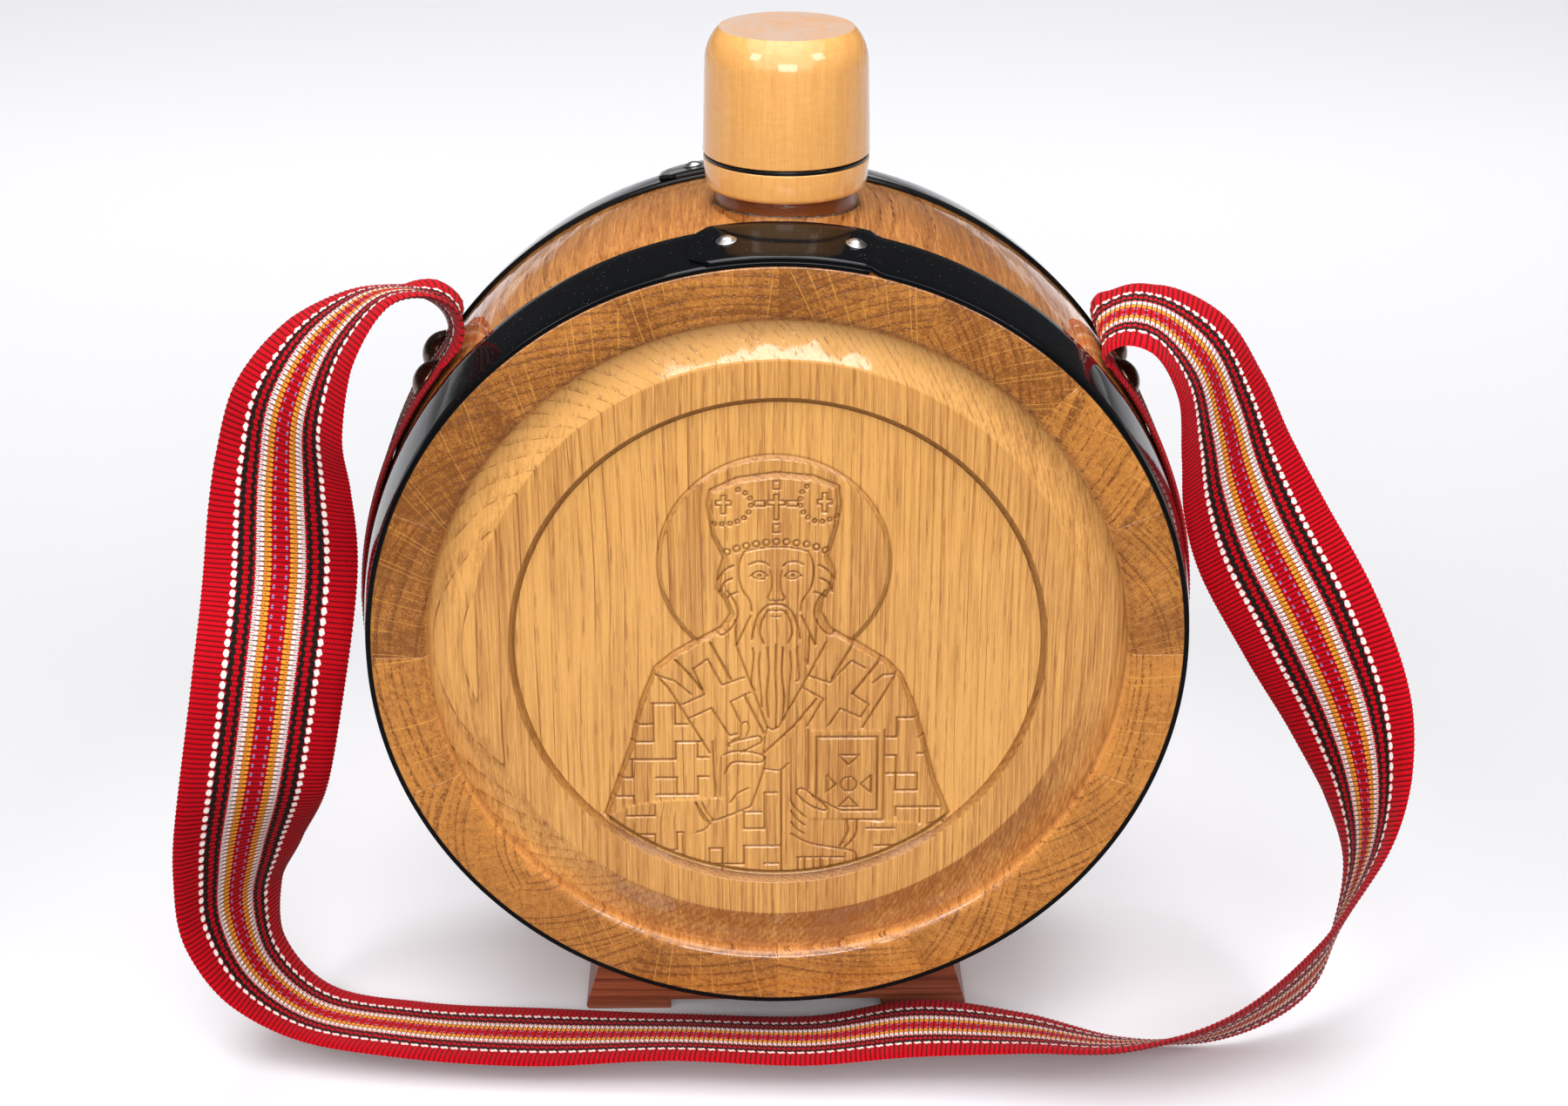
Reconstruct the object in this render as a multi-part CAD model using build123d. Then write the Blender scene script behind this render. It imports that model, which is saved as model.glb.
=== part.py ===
from build123d import *
import math
import os

# Coopered oak flask lying on its rim side: a round, flat cask of sixteen staves between two
# steel hoops, a turned head in each end, a wooden neck with a screw cap on top, a saddle
# block to stand on and a woven carrying strap nailed to both flanks.
# X runs to the right of someone who faces the front head, Y runs away from them, Z is up.
# The origin is on the floor, under the middle of the body. All lengths are millimetres.

# Body: its outer and inner walls are arcs about one centre, swept round the Y axis.
stave_count = 16
body_depth = 98.0
stave_end_radius = 108.75
belly_rise = 4.5
wall_thickness = 15.2
lip_round = 2.6
chime_depth = 6.5
croze_depth = 2.3

# Heads: panels whose rims sit in the croze grooves.
head_rim_thickness = 5.5
head_rim_gap = 0.1
head_bevel_rise = 3.2
head_bevel_width = 11.8
field_radius = 70.8
field_sink = 1.8

# Carving on the front head: a half-length figure before a halo, two low steps on the field.
halo_radius = 31.0
halo_shift = -1.1
halo_lift = 25.1
halo_rise = 0.8
figure_rise = 1.5
figure_margin = 1.4

# Hoops: open steel strips whose ends overlap and are riveted.
hoop_width = 21.4
hoop_thickness = 1.25
lap_length = 45.4
lap_ramp = 3.0
lap_corner = 5.0
lap_end_front = -22.5
lap_end_back = -32.0
rivet_margin = 9.5
rivet_pitch = 32.2
rivet_head_radius = 2.7
rivet_head_height = 1.3
rivet_shank_radius = 1.5
rivet_gap = 0.05

# Neck: a seat ring and a collar round a threaded tube, all a little right of the top joint.
neck_offset = 2.5
neck_bore_radius = 9.5
neck_tube_wall = 3.0
neck_gap = 0.1
tube_reach = 2.0
seat_radius = 18.75
seat_height = 3.05
collar_foot_radius = 21.4
collar_top_radius = 22.1
collar_height = 8.1
collar_round = 1.8
flange_radius = 22.0
flange_thickness = 1.0
spout_height = 16.0

# Cap: a turned shell, its threaded lining and the sealing disc inside it.
cap_rest_gap = 0.3
cap_height = 32.7
cap_foot_radius = 22.2
cap_side_radius = 21.5
cap_side_height = 23.8
cap_top_radius = 17.75
insert_gap = 0.7
insert_wall = 1.8
insert_recess = 0.5
cap_glue_gap = 0.1
liner_thickness = 1.6
liner_gap = 0.3

# Base: a block between the hoops, hollowed to the belly, on two feet.
base_clearance = 15.25
base_hoop_gap = 2.6
base_half_width = 57.0
base_splay_angle = 16.0
foot_length = 25.4
foot_height = 3.0
base_edge_round = 1.2
dowel_radius = 3.0
dowel_length = 16.0
dowel_gap = 0.05

# Strap: woven webbing, nailed on at the upper pair and the lower single of each side.
strap_width = 41.5
strap_thickness = 1.8
strap_gap = 0.3
strap_leave_angle = 52.0
strap_step_angle = 4.0
strap_tail = 12.0
upper_stud_angle = 55.2
upper_stud_pitch = 24.0
upper_stud_shift = 1.0
lower_stud_angle = 92.5
stud_head_radius = 5.6
stud_head_height = 3.2
stud_shank_radius = 1.1
stud_shank_length = 13.0
stud_gap = 0.05

cut_overrun = 1.0
steps_per_span = 3

# The strap's free run, left studs to right studs. Each row is a place, as shares of the
# body's radius along X and Y and of the centre's height along Z, then the direction across
# the webbing towards the edge that lies at the back on the studs.
strap_route_shares = [
    (-0.801, -0.003, 1.582, 0.00, 1.00, 0.00),
    (-0.810, -0.012, 1.625, -0.10, 0.99, -0.12),
    (-0.845, -0.030, 1.664, -0.27, 0.94, -0.22),
    (-0.905, -0.055, 1.688, -0.33, 0.92, -0.24),
    (-0.985, -0.088, 1.684, -0.38, 0.90, -0.20),
    (-1.105, -0.150, 1.604, -0.55, 0.83, 0.00),
    (-1.185, -0.195, 1.475, -0.76, 0.62, 0.15),
    (-1.215, -0.195, 1.325, -0.92, 0.35, 0.16),
    (-1.235, -0.225, 1.100, -0.98, -0.07, 0.18),
    (-1.265, -0.330, 0.895, -0.94, -0.24, 0.22),
    (-1.315, -0.370, 0.670, -0.91, -0.35, 0.21),
    (-1.385, -0.315, 0.455, -0.75, -0.65, 0.10),
    (-1.415, -0.290, 0.305, -0.53, -0.85, 0.05),
    (-1.370, -0.305, 0.165, -0.26, -0.96, 0.12),
    (-1.235, -0.340, 0.070, -0.13, -0.97, 0.22),
    (-0.970, -0.390, 0.046, -0.12, -0.97, 0.22),
    (-0.620, -0.425, 0.043, -0.11, -0.97, 0.20),
    (-0.260, -0.450, 0.055, -0.10, -0.95, 0.28),
    (0.090, -0.470, 0.056, -0.09, -0.96, 0.26),
    (0.360, -0.475, 0.090, -0.10, -0.97, 0.20),
    (0.625, -0.510, 0.095, -0.11, -0.95, 0.32),
    (0.885, -0.560, 0.092, -0.10, -0.86, 0.50),
    (1.145, -0.555, 0.130, -0.12, -0.73, 0.67),
    (1.370, -0.470, 0.220, -0.17, -0.64, 0.75),
    (1.470, -0.375, 0.320, -0.06, -0.71, 0.70),
    (1.540, -0.275, 0.435, 0.12, -0.77, 0.63),
    (1.545, -0.180, 0.560, 0.40, -0.71, 0.58),
    (1.505, -0.095, 0.695, 0.68, -0.51, 0.53),
    (1.390, -0.035, 0.900, 0.85, -0.12, 0.50),
    (1.260, 0.005, 1.095, 0.87, 0.22, 0.44),
    (1.185, 0.005, 1.240, 0.78, 0.48, 0.40),
    (1.130, -0.015, 1.385, 0.63, 0.67, 0.38),
    (1.060, -0.035, 1.525, 0.43, 0.84, 0.30),
    (0.940, -0.035, 1.618, 0.20, 0.97, 0.14),
    (0.865, -0.020, 1.624, 0.12, 0.99, 0.08),
    (0.812, -0.006, 1.590, 0.02, 1.00, 0.00),
]

# The figure's outline, clockwise from the left foot of its hat: shares of the field's radius
# to the right of the middle and above it. The lowest corners lie past the field's rim.
figure_outline_shares = [
    (-0.205, 0.385),
    (-0.245, 0.470),
    (-0.265, 0.600),
    (-0.255, 0.655),
    (-0.155, 0.703),
    (-0.008, 0.725),
    (0.130, 0.710),
    (0.222, 0.670),
    (0.228, 0.605),
    (0.218, 0.505),
    (0.185, 0.390),
    (0.212, 0.320),
    (0.200, 0.255),
    (0.165, 0.210),
    (0.160, 0.155),
    (0.200, 0.085),
    (0.325, 0.007),
    (0.417, -0.055),
    (0.470, -0.115),
    (0.525, -0.245),
    (0.568, -0.405),
    (0.610, -0.570),
    (0.720, -0.850),
    (0.000, -1.150),
    (-0.720, -0.850),
    (-0.615, -0.545),
    (-0.565, -0.400),
    (-0.528, -0.230),
    (-0.472, -0.080),
    (-0.403, -0.020),
    (-0.308, 0.040),
    (-0.215, 0.095),
    (-0.180, 0.150),
    (-0.200, 0.210),
    (-0.232, 0.255),
    (-0.225, 0.320),
]

# Worked out from the sizes above.
half_depth = body_depth / 2
base_depth = body_depth - 2 * (hoop_width + base_hoop_gap)
belly_radius = stave_end_radius + belly_rise
arc_radius = (half_depth**2 + belly_rise**2) / (2 * belly_rise)
arc_centre = belly_radius - arc_radius
body_radius = stave_end_radius + hoop_thickness
centre_height = belly_radius + base_clearance
stave_angle = 360 / stave_count
tube_radius = neck_bore_radius + neck_tube_wall
seat_top = centre_height + belly_radius + seat_height
collar_top = seat_top + collar_height
flange_top = collar_top + flange_thickness
spout_top = flange_top + spout_height
cap_bottom = flange_top + cap_rest_gap
cap_top = cap_bottom + cap_height
insert_bore_radius = tube_radius + insert_gap
insert_radius = insert_bore_radius + insert_wall
insert_roof = spout_top + liner_thickness
insert_top = insert_roof + insert_wall


def wall_point(y, offset):
    """Radius and depth of a point on the body's arc, moved out by an offset."""
    return (arc_centre + math.sqrt((arc_radius + offset) ** 2 - y**2), y)


def wall_arc(y_from, y_to, offset):
    """A stretch of the body's arc, moved out by an offset."""
    middle = wall_point((y_from + y_to) / 2, offset)
    return ThreePointArc(wall_point(y_from, offset), middle, wall_point(y_to, offset))


def round_body(angle):
    """Takes what is modelled in the X, Y half plane to an angle, clockwise from the top."""
    return Pos(0, 0, centre_height) * Rot(0, angle - 90, 0)


def on_wall(angle, y, offset):
    """A place on the body's outer arc with its own Z axis pointing straight out."""
    tilt = math.degrees(math.asin(y / (arc_radius + offset)))
    out = Pos(arc_centre, 0, 0) * Rot(0, 0, tilt) * Pos(arc_radius + offset, 0, 0)
    return round_body(angle) * out * Rot(0, 90, 0)


def belly_form():
    """The solid inside the body's outer wall."""
    arc = wall_arc(-half_depth, half_depth, 0)
    ends = Polyline(arc @ 1, (0, half_depth), (0, -half_depth), arc @ 0)
    return Pos(0, 0, centre_height) * revolve(make_face([arc] + ends.edges()), axis=Axis.Y)


def bore(radius, length):
    """A cutter that starts below the surface and runs past it, along its own Z axis."""
    deep = Cylinder(radius, length + cut_overrun, align=(Align.CENTER, Align.CENTER, Align.MIN))
    return Pos(0, 0, -length) * deep


def stave_outline():
    """A stave's section: outer arc, two end faces, inner arc and the two croze grooves."""
    groove_front = half_depth - chime_depth
    groove_back = groove_front - head_rim_thickness
    groove_radius = wall_point(groove_front, -wall_thickness)[0] + croze_depth
    outer = wall_arc(-half_depth, half_depth, 0)
    edges = [outer, wall_arc(-groove_back, groove_back, -wall_thickness)]
    for side in (1, -1):
        lip = wall_arc(side * half_depth, side * groove_front, -wall_thickness)
        foot = wall_point(side * groove_back, -wall_thickness)
        front = (groove_radius, side * groove_front)
        back = (groove_radius, side * groove_back)
        edges += [lip, Line(wall_point(side * half_depth, 0), lip @ 0)]
        edges += Polyline(lip @ 1, front, back, foot).edges()
    face = make_face(edges)
    lips = [wall_point(side * half_depth, -wall_thickness) for side in (1, -1)]
    corners = [face.vertices().sort_by_distance((*lip, 0))[0] for lip in lips]
    return fillet(corners, lip_round)


def stud_places(side):
    """The three studs of one flank, each a place on the strap's outer face."""
    out = strap_gap + strap_thickness
    spread = upper_stud_pitch / 2
    upper = side * upper_stud_angle
    places = [(upper, upper_stud_shift - spread), (upper, upper_stud_shift + spread)]
    places.append((side * lower_stud_angle, upper_stud_shift))
    return [round_body(angle) * Pos(belly_radius + out, y, 0) * Rot(0, 90, 0) for angle, y in places]


def dowel_places():
    """One dowel in the middle of each of the two lowest staves."""
    return [on_wall(180 + side * stave_angle / 2, 0, 0) for side in (-1, 1)]


def neck_place():
    """The neck's axis, which is a little off the top joint."""
    return Pos(neck_offset, 0, 0)


def wall_cutters():
    """What is bored through or into the staves."""
    through = Pos(neck_offset, 0, centre_height) * Cylinder(
        tube_radius + neck_gap, belly_radius + cut_overrun, align=(Align.CENTER, Align.CENTER, Align.MIN)
    )
    studs = [
        place * bore(stud_shank_radius + stud_gap, stud_shank_length + stud_gap)
        for side in (-1, 1)
        for place in stud_places(side)
    ]
    dowel = bore(dowel_radius + dowel_gap, dowel_length / 2 + dowel_gap)
    return [through] + studs + [place * dowel for place in dowel_places()]


def build_staves():
    """All staves, numbered clockwise from the joint under the neck."""
    blank = revolve(stave_outline(), axis=Axis.Y, revolution_arc=stave_angle)
    cutters = wall_cutters()
    staves = {}
    for index in range(stave_count):
        stave = round_body(index * stave_angle) * blank
        box = stave.bounding_box()
        for cutter in cutters:
            if box.overlaps(cutter.bounding_box()):
                stave -= cutter
        staves[f"stave_{index + 1:02d}"] = stave
    return staves


def build_head(side, sunk_field):
    """A head: a bevelled panel with its rim in the groove, its face towards one side."""
    rim_front = half_depth - chime_depth
    rim_back = rim_front - head_rim_thickness
    flat = rim_front + head_bevel_rise
    wall_radius = wall_point(rim_front, -wall_thickness)[0]
    rim_radius = wall_radius + croze_depth - head_rim_gap
    crease_radius = wall_radius - head_bevel_width
    rim = [(0, rim_back), (rim_radius, rim_back), (rim_radius, rim_front), (wall_radius, rim_front)]
    face = [(crease_radius, flat)]
    if sunk_field:
        field = flat - field_sink
        face += [(field_radius + field_sink, flat), (field_radius, field), (0, field)]
    else:
        face += [(0, flat)]
    points = [(radius, side * depth) for radius, depth in rim + face]
    section = make_face(Polyline(*points, close=True))
    return Pos(0, 0, centre_height) * revolve(section, axis=Axis.Y)


def build_carving():
    """The figure and the halo behind it, on the front head's sunk field."""
    field = half_depth - chime_depth + head_bevel_rise - field_sink
    plane = Plane((0, -field, centre_height), x_dir=(1, 0, 0), z_dir=(0, -1, 0))
    points = [(across * field_radius, up * field_radius) for across, up in figure_outline_shares]
    figure = make_face(Polyline(*points, close=True)) & Circle(field_radius - figure_margin)
    halo = Pos(halo_shift, halo_lift) * Circle(halo_radius)
    return plane * extrude(figure, figure_rise) + plane * extrude(halo, halo_rise)


def strip_section(side, offset):
    """The hoop strip's section, lying on the body's arc moved out by an offset."""
    edge = side * half_depth
    inner_edge = side * (half_depth - hoop_width)
    low = wall_arc(edge, inner_edge, offset)
    high = wall_arc(edge, inner_edge, offset + hoop_thickness)
    return make_face([low, high, Line(low @ 0, high @ 0), Line(low @ 1, high @ 1)])


def lap_angle(length):
    """The angle that a length along the hoop's outside spans."""
    return math.degrees(length / body_radius)


def rivet_places(side, lap_end):
    """Both rivets of one lap, on the outer layer of the strip."""
    middle = side * (half_depth - hoop_width / 2)
    first = lap_end + rivet_margin
    along = [first, first + rivet_pitch]
    return [on_wall(lap_angle(length), middle, 2 * hoop_thickness) for length in along]


def build_hoop(side, lap_end):
    """An open strip that climbs over its own end and is bored for the rivets."""
    free_end = lap_angle(lap_end)
    hidden_end = free_end + lap_angle(lap_length)
    ramp_foot = hidden_end + lap_angle(lap_ramp)
    low = strip_section(side, 0)
    high = strip_section(side, hoop_thickness)
    turn = 360 - lap_angle(lap_ramp)
    band = round_body(ramp_foot) * revolve(low, axis=Axis.Y, revolution_arc=turn)
    lap = revolve(high, axis=Axis.Y, revolution_arc=lap_angle(lap_length))
    corners = lap.edges().filter_by(Axis.X).sort_by(Axis.Z)[-2:]
    lap = round_body(free_end) * chamfer(corners, lap_corner)
    ramp = loft([round_body(hidden_end) * high, round_body(ramp_foot) * low], ruled=True)
    hoop = band + lap + ramp
    for place in rivet_places(side, lap_end):
        hoop -= place * bore(rivet_shank_radius + rivet_gap, 2 * hoop_thickness + cut_overrun)
    return hoop


def domed_fastener(head_radius, head_height, shank_radius, shank_length):
    """A round-headed pin whose head sits on Z zero and whose shank points down."""
    dome = RadiusArc((head_radius, 0), (0, head_height), -dome_radius(head_radius, head_height))
    foot = (0, -shank_length)
    shank = Polyline(dome @ 1, foot, (shank_radius, -shank_length), (shank_radius, 0), dome @ 0)
    return revolve(Plane.XZ * make_face([dome] + shank.edges()), axis=Axis.Z)


def dome_radius(head_radius, head_height):
    """The radius of a shallow dome from its width and height."""
    return (head_radius**2 + head_height**2) / (2 * head_height)


def build_rivets(side, lap_end):
    """The pair of rivets that closes one hoop."""
    rivet = domed_fastener(
        rivet_head_radius, rivet_head_height, rivet_shank_radius, 2 * hoop_thickness
    )
    return Compound(children=[place * rivet for place in rivet_places(side, lap_end)])


def ring_outline(points):
    """A closed outline of radii and heights, turned about Z."""
    return revolve(Plane.XZ * make_face(Polyline(*points, close=True)), axis=Axis.Z)


def build_neck_seat():
    """The thin ring that takes the collar's flat foot down to the curved belly."""
    low = centre_height + arc_centre + arc_radius - belly_rise
    inner = tube_radius + neck_gap
    ring = ring_outline([(inner, low), (seat_radius, low), (seat_radius, seat_top), (inner, seat_top)])
    return neck_place() * ring - belly_form()


def build_neck_collar():
    """The turned wooden collar, rounded where it meets the seat ring."""
    inner = tube_radius + neck_gap
    foot = (collar_foot_radius, seat_top)
    section = make_face(
        Polyline((inner, seat_top), foot, (collar_top_radius, collar_top), (inner, collar_top), close=True)
    )
    corner = section.vertices().sort_by_distance((*foot, 0))[0]
    section = fillet(corner, collar_round)
    return neck_place() * revolve(Plane.XZ * section, axis=Axis.Z)


def build_neck_tube():
    """The tube through the wall, with the thin flange that shows as a dark line."""
    bottom = centre_height + wall_point(0, -wall_thickness)[0] - tube_reach
    points = [
        (neck_bore_radius, bottom),
        (tube_radius, bottom),
        (tube_radius, collar_top),
        (flange_radius, collar_top),
        (flange_radius, flange_top),
        (tube_radius, flange_top),
        (tube_radius, spout_top),
        (neck_bore_radius, spout_top),
    ]
    return neck_place() * ring_outline(points)


def build_cap():
    """The turned cap: nearly straight sides, a round shoulder and a flat top."""
    cavity = insert_radius + cap_glue_gap
    roof = insert_top + cap_glue_gap
    shoulder = (cap_side_radius, cap_bottom + cap_side_height)
    crown = (cap_top_radius, cap_top)
    arc = TangentArc(shoulder, crown, tangent=(0, 1))
    side = Line((cap_foot_radius, cap_bottom), shoulder)
    inside = Polyline(crown, (0, cap_top), (0, roof), (cavity, roof), (cavity, cap_bottom), side @ 0)
    section = make_face([arc, side] + inside.edges())
    return neck_place() * revolve(Plane.XZ * section, axis=Axis.Z)


def build_cap_insert():
    """The threaded lining of the cap, a cup that opens downwards."""
    low = cap_bottom + insert_recess
    points = [
        (insert_bore_radius, low),
        (insert_radius, low),
        (insert_radius, insert_top),
        (0, insert_top),
        (0, insert_roof),
        (insert_bore_radius, insert_roof),
    ]
    return neck_place() * ring_outline(points)


def build_cap_liner():
    """The sealing disc between the spout and the roof of the lining."""
    radius = insert_bore_radius - liner_gap
    points = [(0, spout_top), (radius, spout_top), (radius, insert_roof), (0, insert_roof)]
    return neck_place() * ring_outline(points)


def build_base():
    """The saddle block: splayed ends, two feet and a top hollowed to the belly."""
    half = base_depth / 2
    top = belly_rise + 2 * base_clearance
    slope = math.tan(math.radians(base_splay_angle))
    inner_foot = base_half_width - foot_length
    right = [(inner_foot, foot_height), (inner_foot, 0), (base_half_width, 0)]
    right.append((base_half_width - top * slope, top))
    left = [(-x, z) for x, z in reversed(right)]
    block = extrude(Plane.XZ * make_face(Polyline(*right, *left, close=True)), half, both=True)
    block = fillet(block.edges().filter_by(Axis.Y).group_by(Axis.X)[0], base_edge_round)
    block = fillet(block.edges().filter_by(Axis.Y).group_by(Axis.X)[-1], base_edge_round)
    block -= belly_form()
    for place in dowel_places():
        hole = Cylinder(dowel_radius + dowel_gap, dowel_length + 2 * dowel_gap)
        block -= place * hole
    return block


def build_base_pins():
    """Two dowels across the joint between belly and base."""
    pin = Cylinder(dowel_radius, dowel_length)
    return Compound(children=[place * pin for place in dowel_places()])


def strap_on_body(side):
    """Places along the strap where it lies on the belly, from its tail to where it leaves."""
    radius = belly_radius + strap_gap + strap_thickness / 2
    tail = lower_stud_angle + math.degrees(strap_tail / radius)
    count = math.ceil((tail - strap_leave_angle) / strap_step_angle)
    step = (tail - strap_leave_angle) / count
    rows = []
    for index in range(count + 1):
        angle = math.radians(side * (tail - index * step))
        place = Vector(math.sin(angle), 0, math.cos(angle)) * radius + Vector(0, 0, centre_height)
        rows.append((place, Vector(0, 1, 0)))
    return rows


def strap_free_run():
    """Places along the strap's free run and the direction across it at each."""
    rows = []
    for x, y, z, across_x, across_y, across_z in strap_route_shares:
        place = Vector(x * body_radius, y * body_radius, z * centre_height)
        rows.append((place, Vector(across_x, across_y, across_z)))
    return rows


def smooth_value(before, start, end, after, spacing, share):
    """A point of the smooth curve through four, between the middle two."""
    first, middle, last = spacing
    out = (start - before) / first - (end - before) / (first + middle) + (end - start) / middle
    back = (end - start) / middle - (after - start) / (middle + last) + (after - end) / last
    out = out * middle
    back = back * middle
    cubic = (start - end) * 2 + out + back
    square = (end - start) * 3 - out * 2 - back
    return start + out * share + square * share**2 + cubic * share**3


def strap_stations():
    """All stations of the strap, with smooth ones added between the chosen ones."""
    rows = strap_on_body(-1) + strap_free_run() + strap_on_body(1)[::-1]
    stations = [rows[0]]
    for index in range(1, len(rows) - 2):
        near = rows[index - 1 : index + 3]
        spacing = [(near[i + 1][0] - near[i][0]).length ** 0.5 for i in range(3)]
        for step in range(steps_per_span):
            share = step / steps_per_span
            place = smooth_value(*[row[0] for row in near], spacing, share)
            across = smooth_value(*[row[1] for row in near], spacing, share)
            stations.append((place, across))
    return stations + rows[-2:]


def build_strap():
    """The webbing as one solid, a rectangle carried along its stations."""
    stations = strap_stations()
    sections = []
    for index, (place, across) in enumerate(stations):
        ahead = stations[min(index + 1, len(stations) - 1)][0]
        behind = stations[max(index - 1, 0)][0]
        along = (ahead - behind).normalized()
        across = (across - along * across.dot(along)).normalized()
        plane = Plane(origin=place, x_dir=across, z_dir=along)
        sections.append(plane * Rectangle(strap_width, strap_thickness))
    strap = loft(sections, ruled=True)
    for side in (-1, 1):
        for place in stud_places(side):
            strap -= place * bore(stud_shank_radius + stud_gap, strap_thickness + strap_gap)
    return strap


def build_studs(side):
    """The three nails of one flank."""
    stud = domed_fastener(stud_head_radius, stud_head_height, stud_shank_radius, stud_shank_length)
    return Compound(children=[place * stud for place in stud_places(side)])


def build_all():
    """Every node by name."""
    nodes = build_staves()
    nodes["head_front"] = build_head(-1, True) + build_carving()
    nodes["head_back"] = build_head(1, False)
    nodes["hoop_front"] = build_hoop(-1, lap_end_front)
    nodes["hoop_back"] = build_hoop(1, lap_end_back)
    nodes["hoop_rivets_front"] = build_rivets(-1, lap_end_front)
    nodes["hoop_rivets_back"] = build_rivets(1, lap_end_back)
    nodes["neck_seat"] = build_neck_seat()
    nodes["neck_collar"] = build_neck_collar()
    nodes["neck_tube"] = build_neck_tube()
    nodes["cap"] = build_cap()
    nodes["cap_insert"] = build_cap_insert()
    nodes["cap_liner"] = build_cap_liner()
    nodes["base"] = build_base()
    nodes["base_pins"] = build_base_pins()
    nodes["strap"] = build_strap()
    nodes["strap_studs_left"] = build_studs(-1)
    nodes["strap_studs_right"] = build_studs(1)
    return nodes


def strap_length():
    """Length of the webbing along its middle."""
    places = [place for place, across in strap_stations()]
    return sum((after - before).length for before, after in zip(places, places[1:]))


os.makedirs("parts", exist_ok=True)
for name, shape in build_all().items():
    export_step(shape, f"parts/{name}.step")
print("strap length", round(strap_length(), 1))
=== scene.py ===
import math
from contextlib import contextmanager

import bmesh
import bpy
import numpy as np
from bpy.props import FloatProperty, FloatVectorProperty, PointerProperty
from mathutils import Matrix, Vector


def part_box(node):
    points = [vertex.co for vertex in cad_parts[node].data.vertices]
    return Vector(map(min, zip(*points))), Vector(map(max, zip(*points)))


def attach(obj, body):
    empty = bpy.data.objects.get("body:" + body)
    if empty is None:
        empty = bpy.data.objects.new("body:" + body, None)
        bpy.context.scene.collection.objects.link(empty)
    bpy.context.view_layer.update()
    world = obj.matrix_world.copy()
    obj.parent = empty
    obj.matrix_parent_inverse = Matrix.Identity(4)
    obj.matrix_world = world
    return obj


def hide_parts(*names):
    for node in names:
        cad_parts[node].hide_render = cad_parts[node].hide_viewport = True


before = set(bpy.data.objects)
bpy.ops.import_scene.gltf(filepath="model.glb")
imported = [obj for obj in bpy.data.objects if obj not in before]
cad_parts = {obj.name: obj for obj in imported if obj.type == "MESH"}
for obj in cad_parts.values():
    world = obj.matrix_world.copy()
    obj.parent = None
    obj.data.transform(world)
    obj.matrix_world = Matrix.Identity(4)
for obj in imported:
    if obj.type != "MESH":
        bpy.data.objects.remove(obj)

# A flat round canteen coopered from sixteen oak staves between two enamelled steel hoops, with
# a carved head in front, a plain head behind, a turned neck and screw cap, a saddle block to
# stand on and a woven carrying strap. X runs right, Y away from the viewer, Z up, in metres.

bl_info = {
    "name": "Coopered oak canteen",
    "version": (1, 0, 0),
    "blender": (4, 5, 0),
    "location": "View3D > Sidebar > Canteen",
    "description": "Models and finishes a coopered oak canteen around its packed frame",
    "category": "Object",
}

MM = 0.001
STAVE_COUNT = 16
STAVE_ANGLE = math.tau / STAVE_COUNT
TURN_STEPS = 96
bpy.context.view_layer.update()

# Places and boxes taken from the frame.
HEAD_LOW, HEAD_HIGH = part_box("head_back")
CENTRE = Vector((0, 0, (HEAD_LOW.z + HEAD_HIGH.z) / 2))
HALF_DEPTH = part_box("stave_05")[1].y
BELLY_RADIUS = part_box("stave_05")[1].x
SEAT_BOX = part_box("neck_seat")
COLLAR_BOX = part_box("neck_collar")
TUBE_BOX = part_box("neck_tube")
CAP_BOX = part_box("cap")
INSERT_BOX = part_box("cap_insert")
BASE_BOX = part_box("base")


def linear(red, green, blue):
    """A colour for the nodes from its everyday 0 to 255 values."""
    shares = [value / 255 for value in (red, green, blue)]
    return [s / 12.92 if s < 0.04045 else ((s + 0.055) / 1.055) ** 2.4 for s in shares]


def length_of(name, millimetres, about):
    """A length that shows in the sidebar."""
    return FloatProperty(name=name, description=about, default=millimetres * MM, unit="LENGTH")


def angle_of(name, degrees, about):
    """An angle that shows in the sidebar."""
    return FloatProperty(name=name, description=about, default=math.radians(degrees), unit="ROTATION")


def colour_of(name, values, about):
    """A colour that shows in the sidebar."""
    return FloatVectorProperty(name=name, description=about, default=linear(*values), subtype="COLOR")


def power_of(name, watts, about):
    """A lamp's power that shows in the sidebar."""
    return FloatProperty(name=name, description=about, default=watts, unit="POWER")


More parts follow.
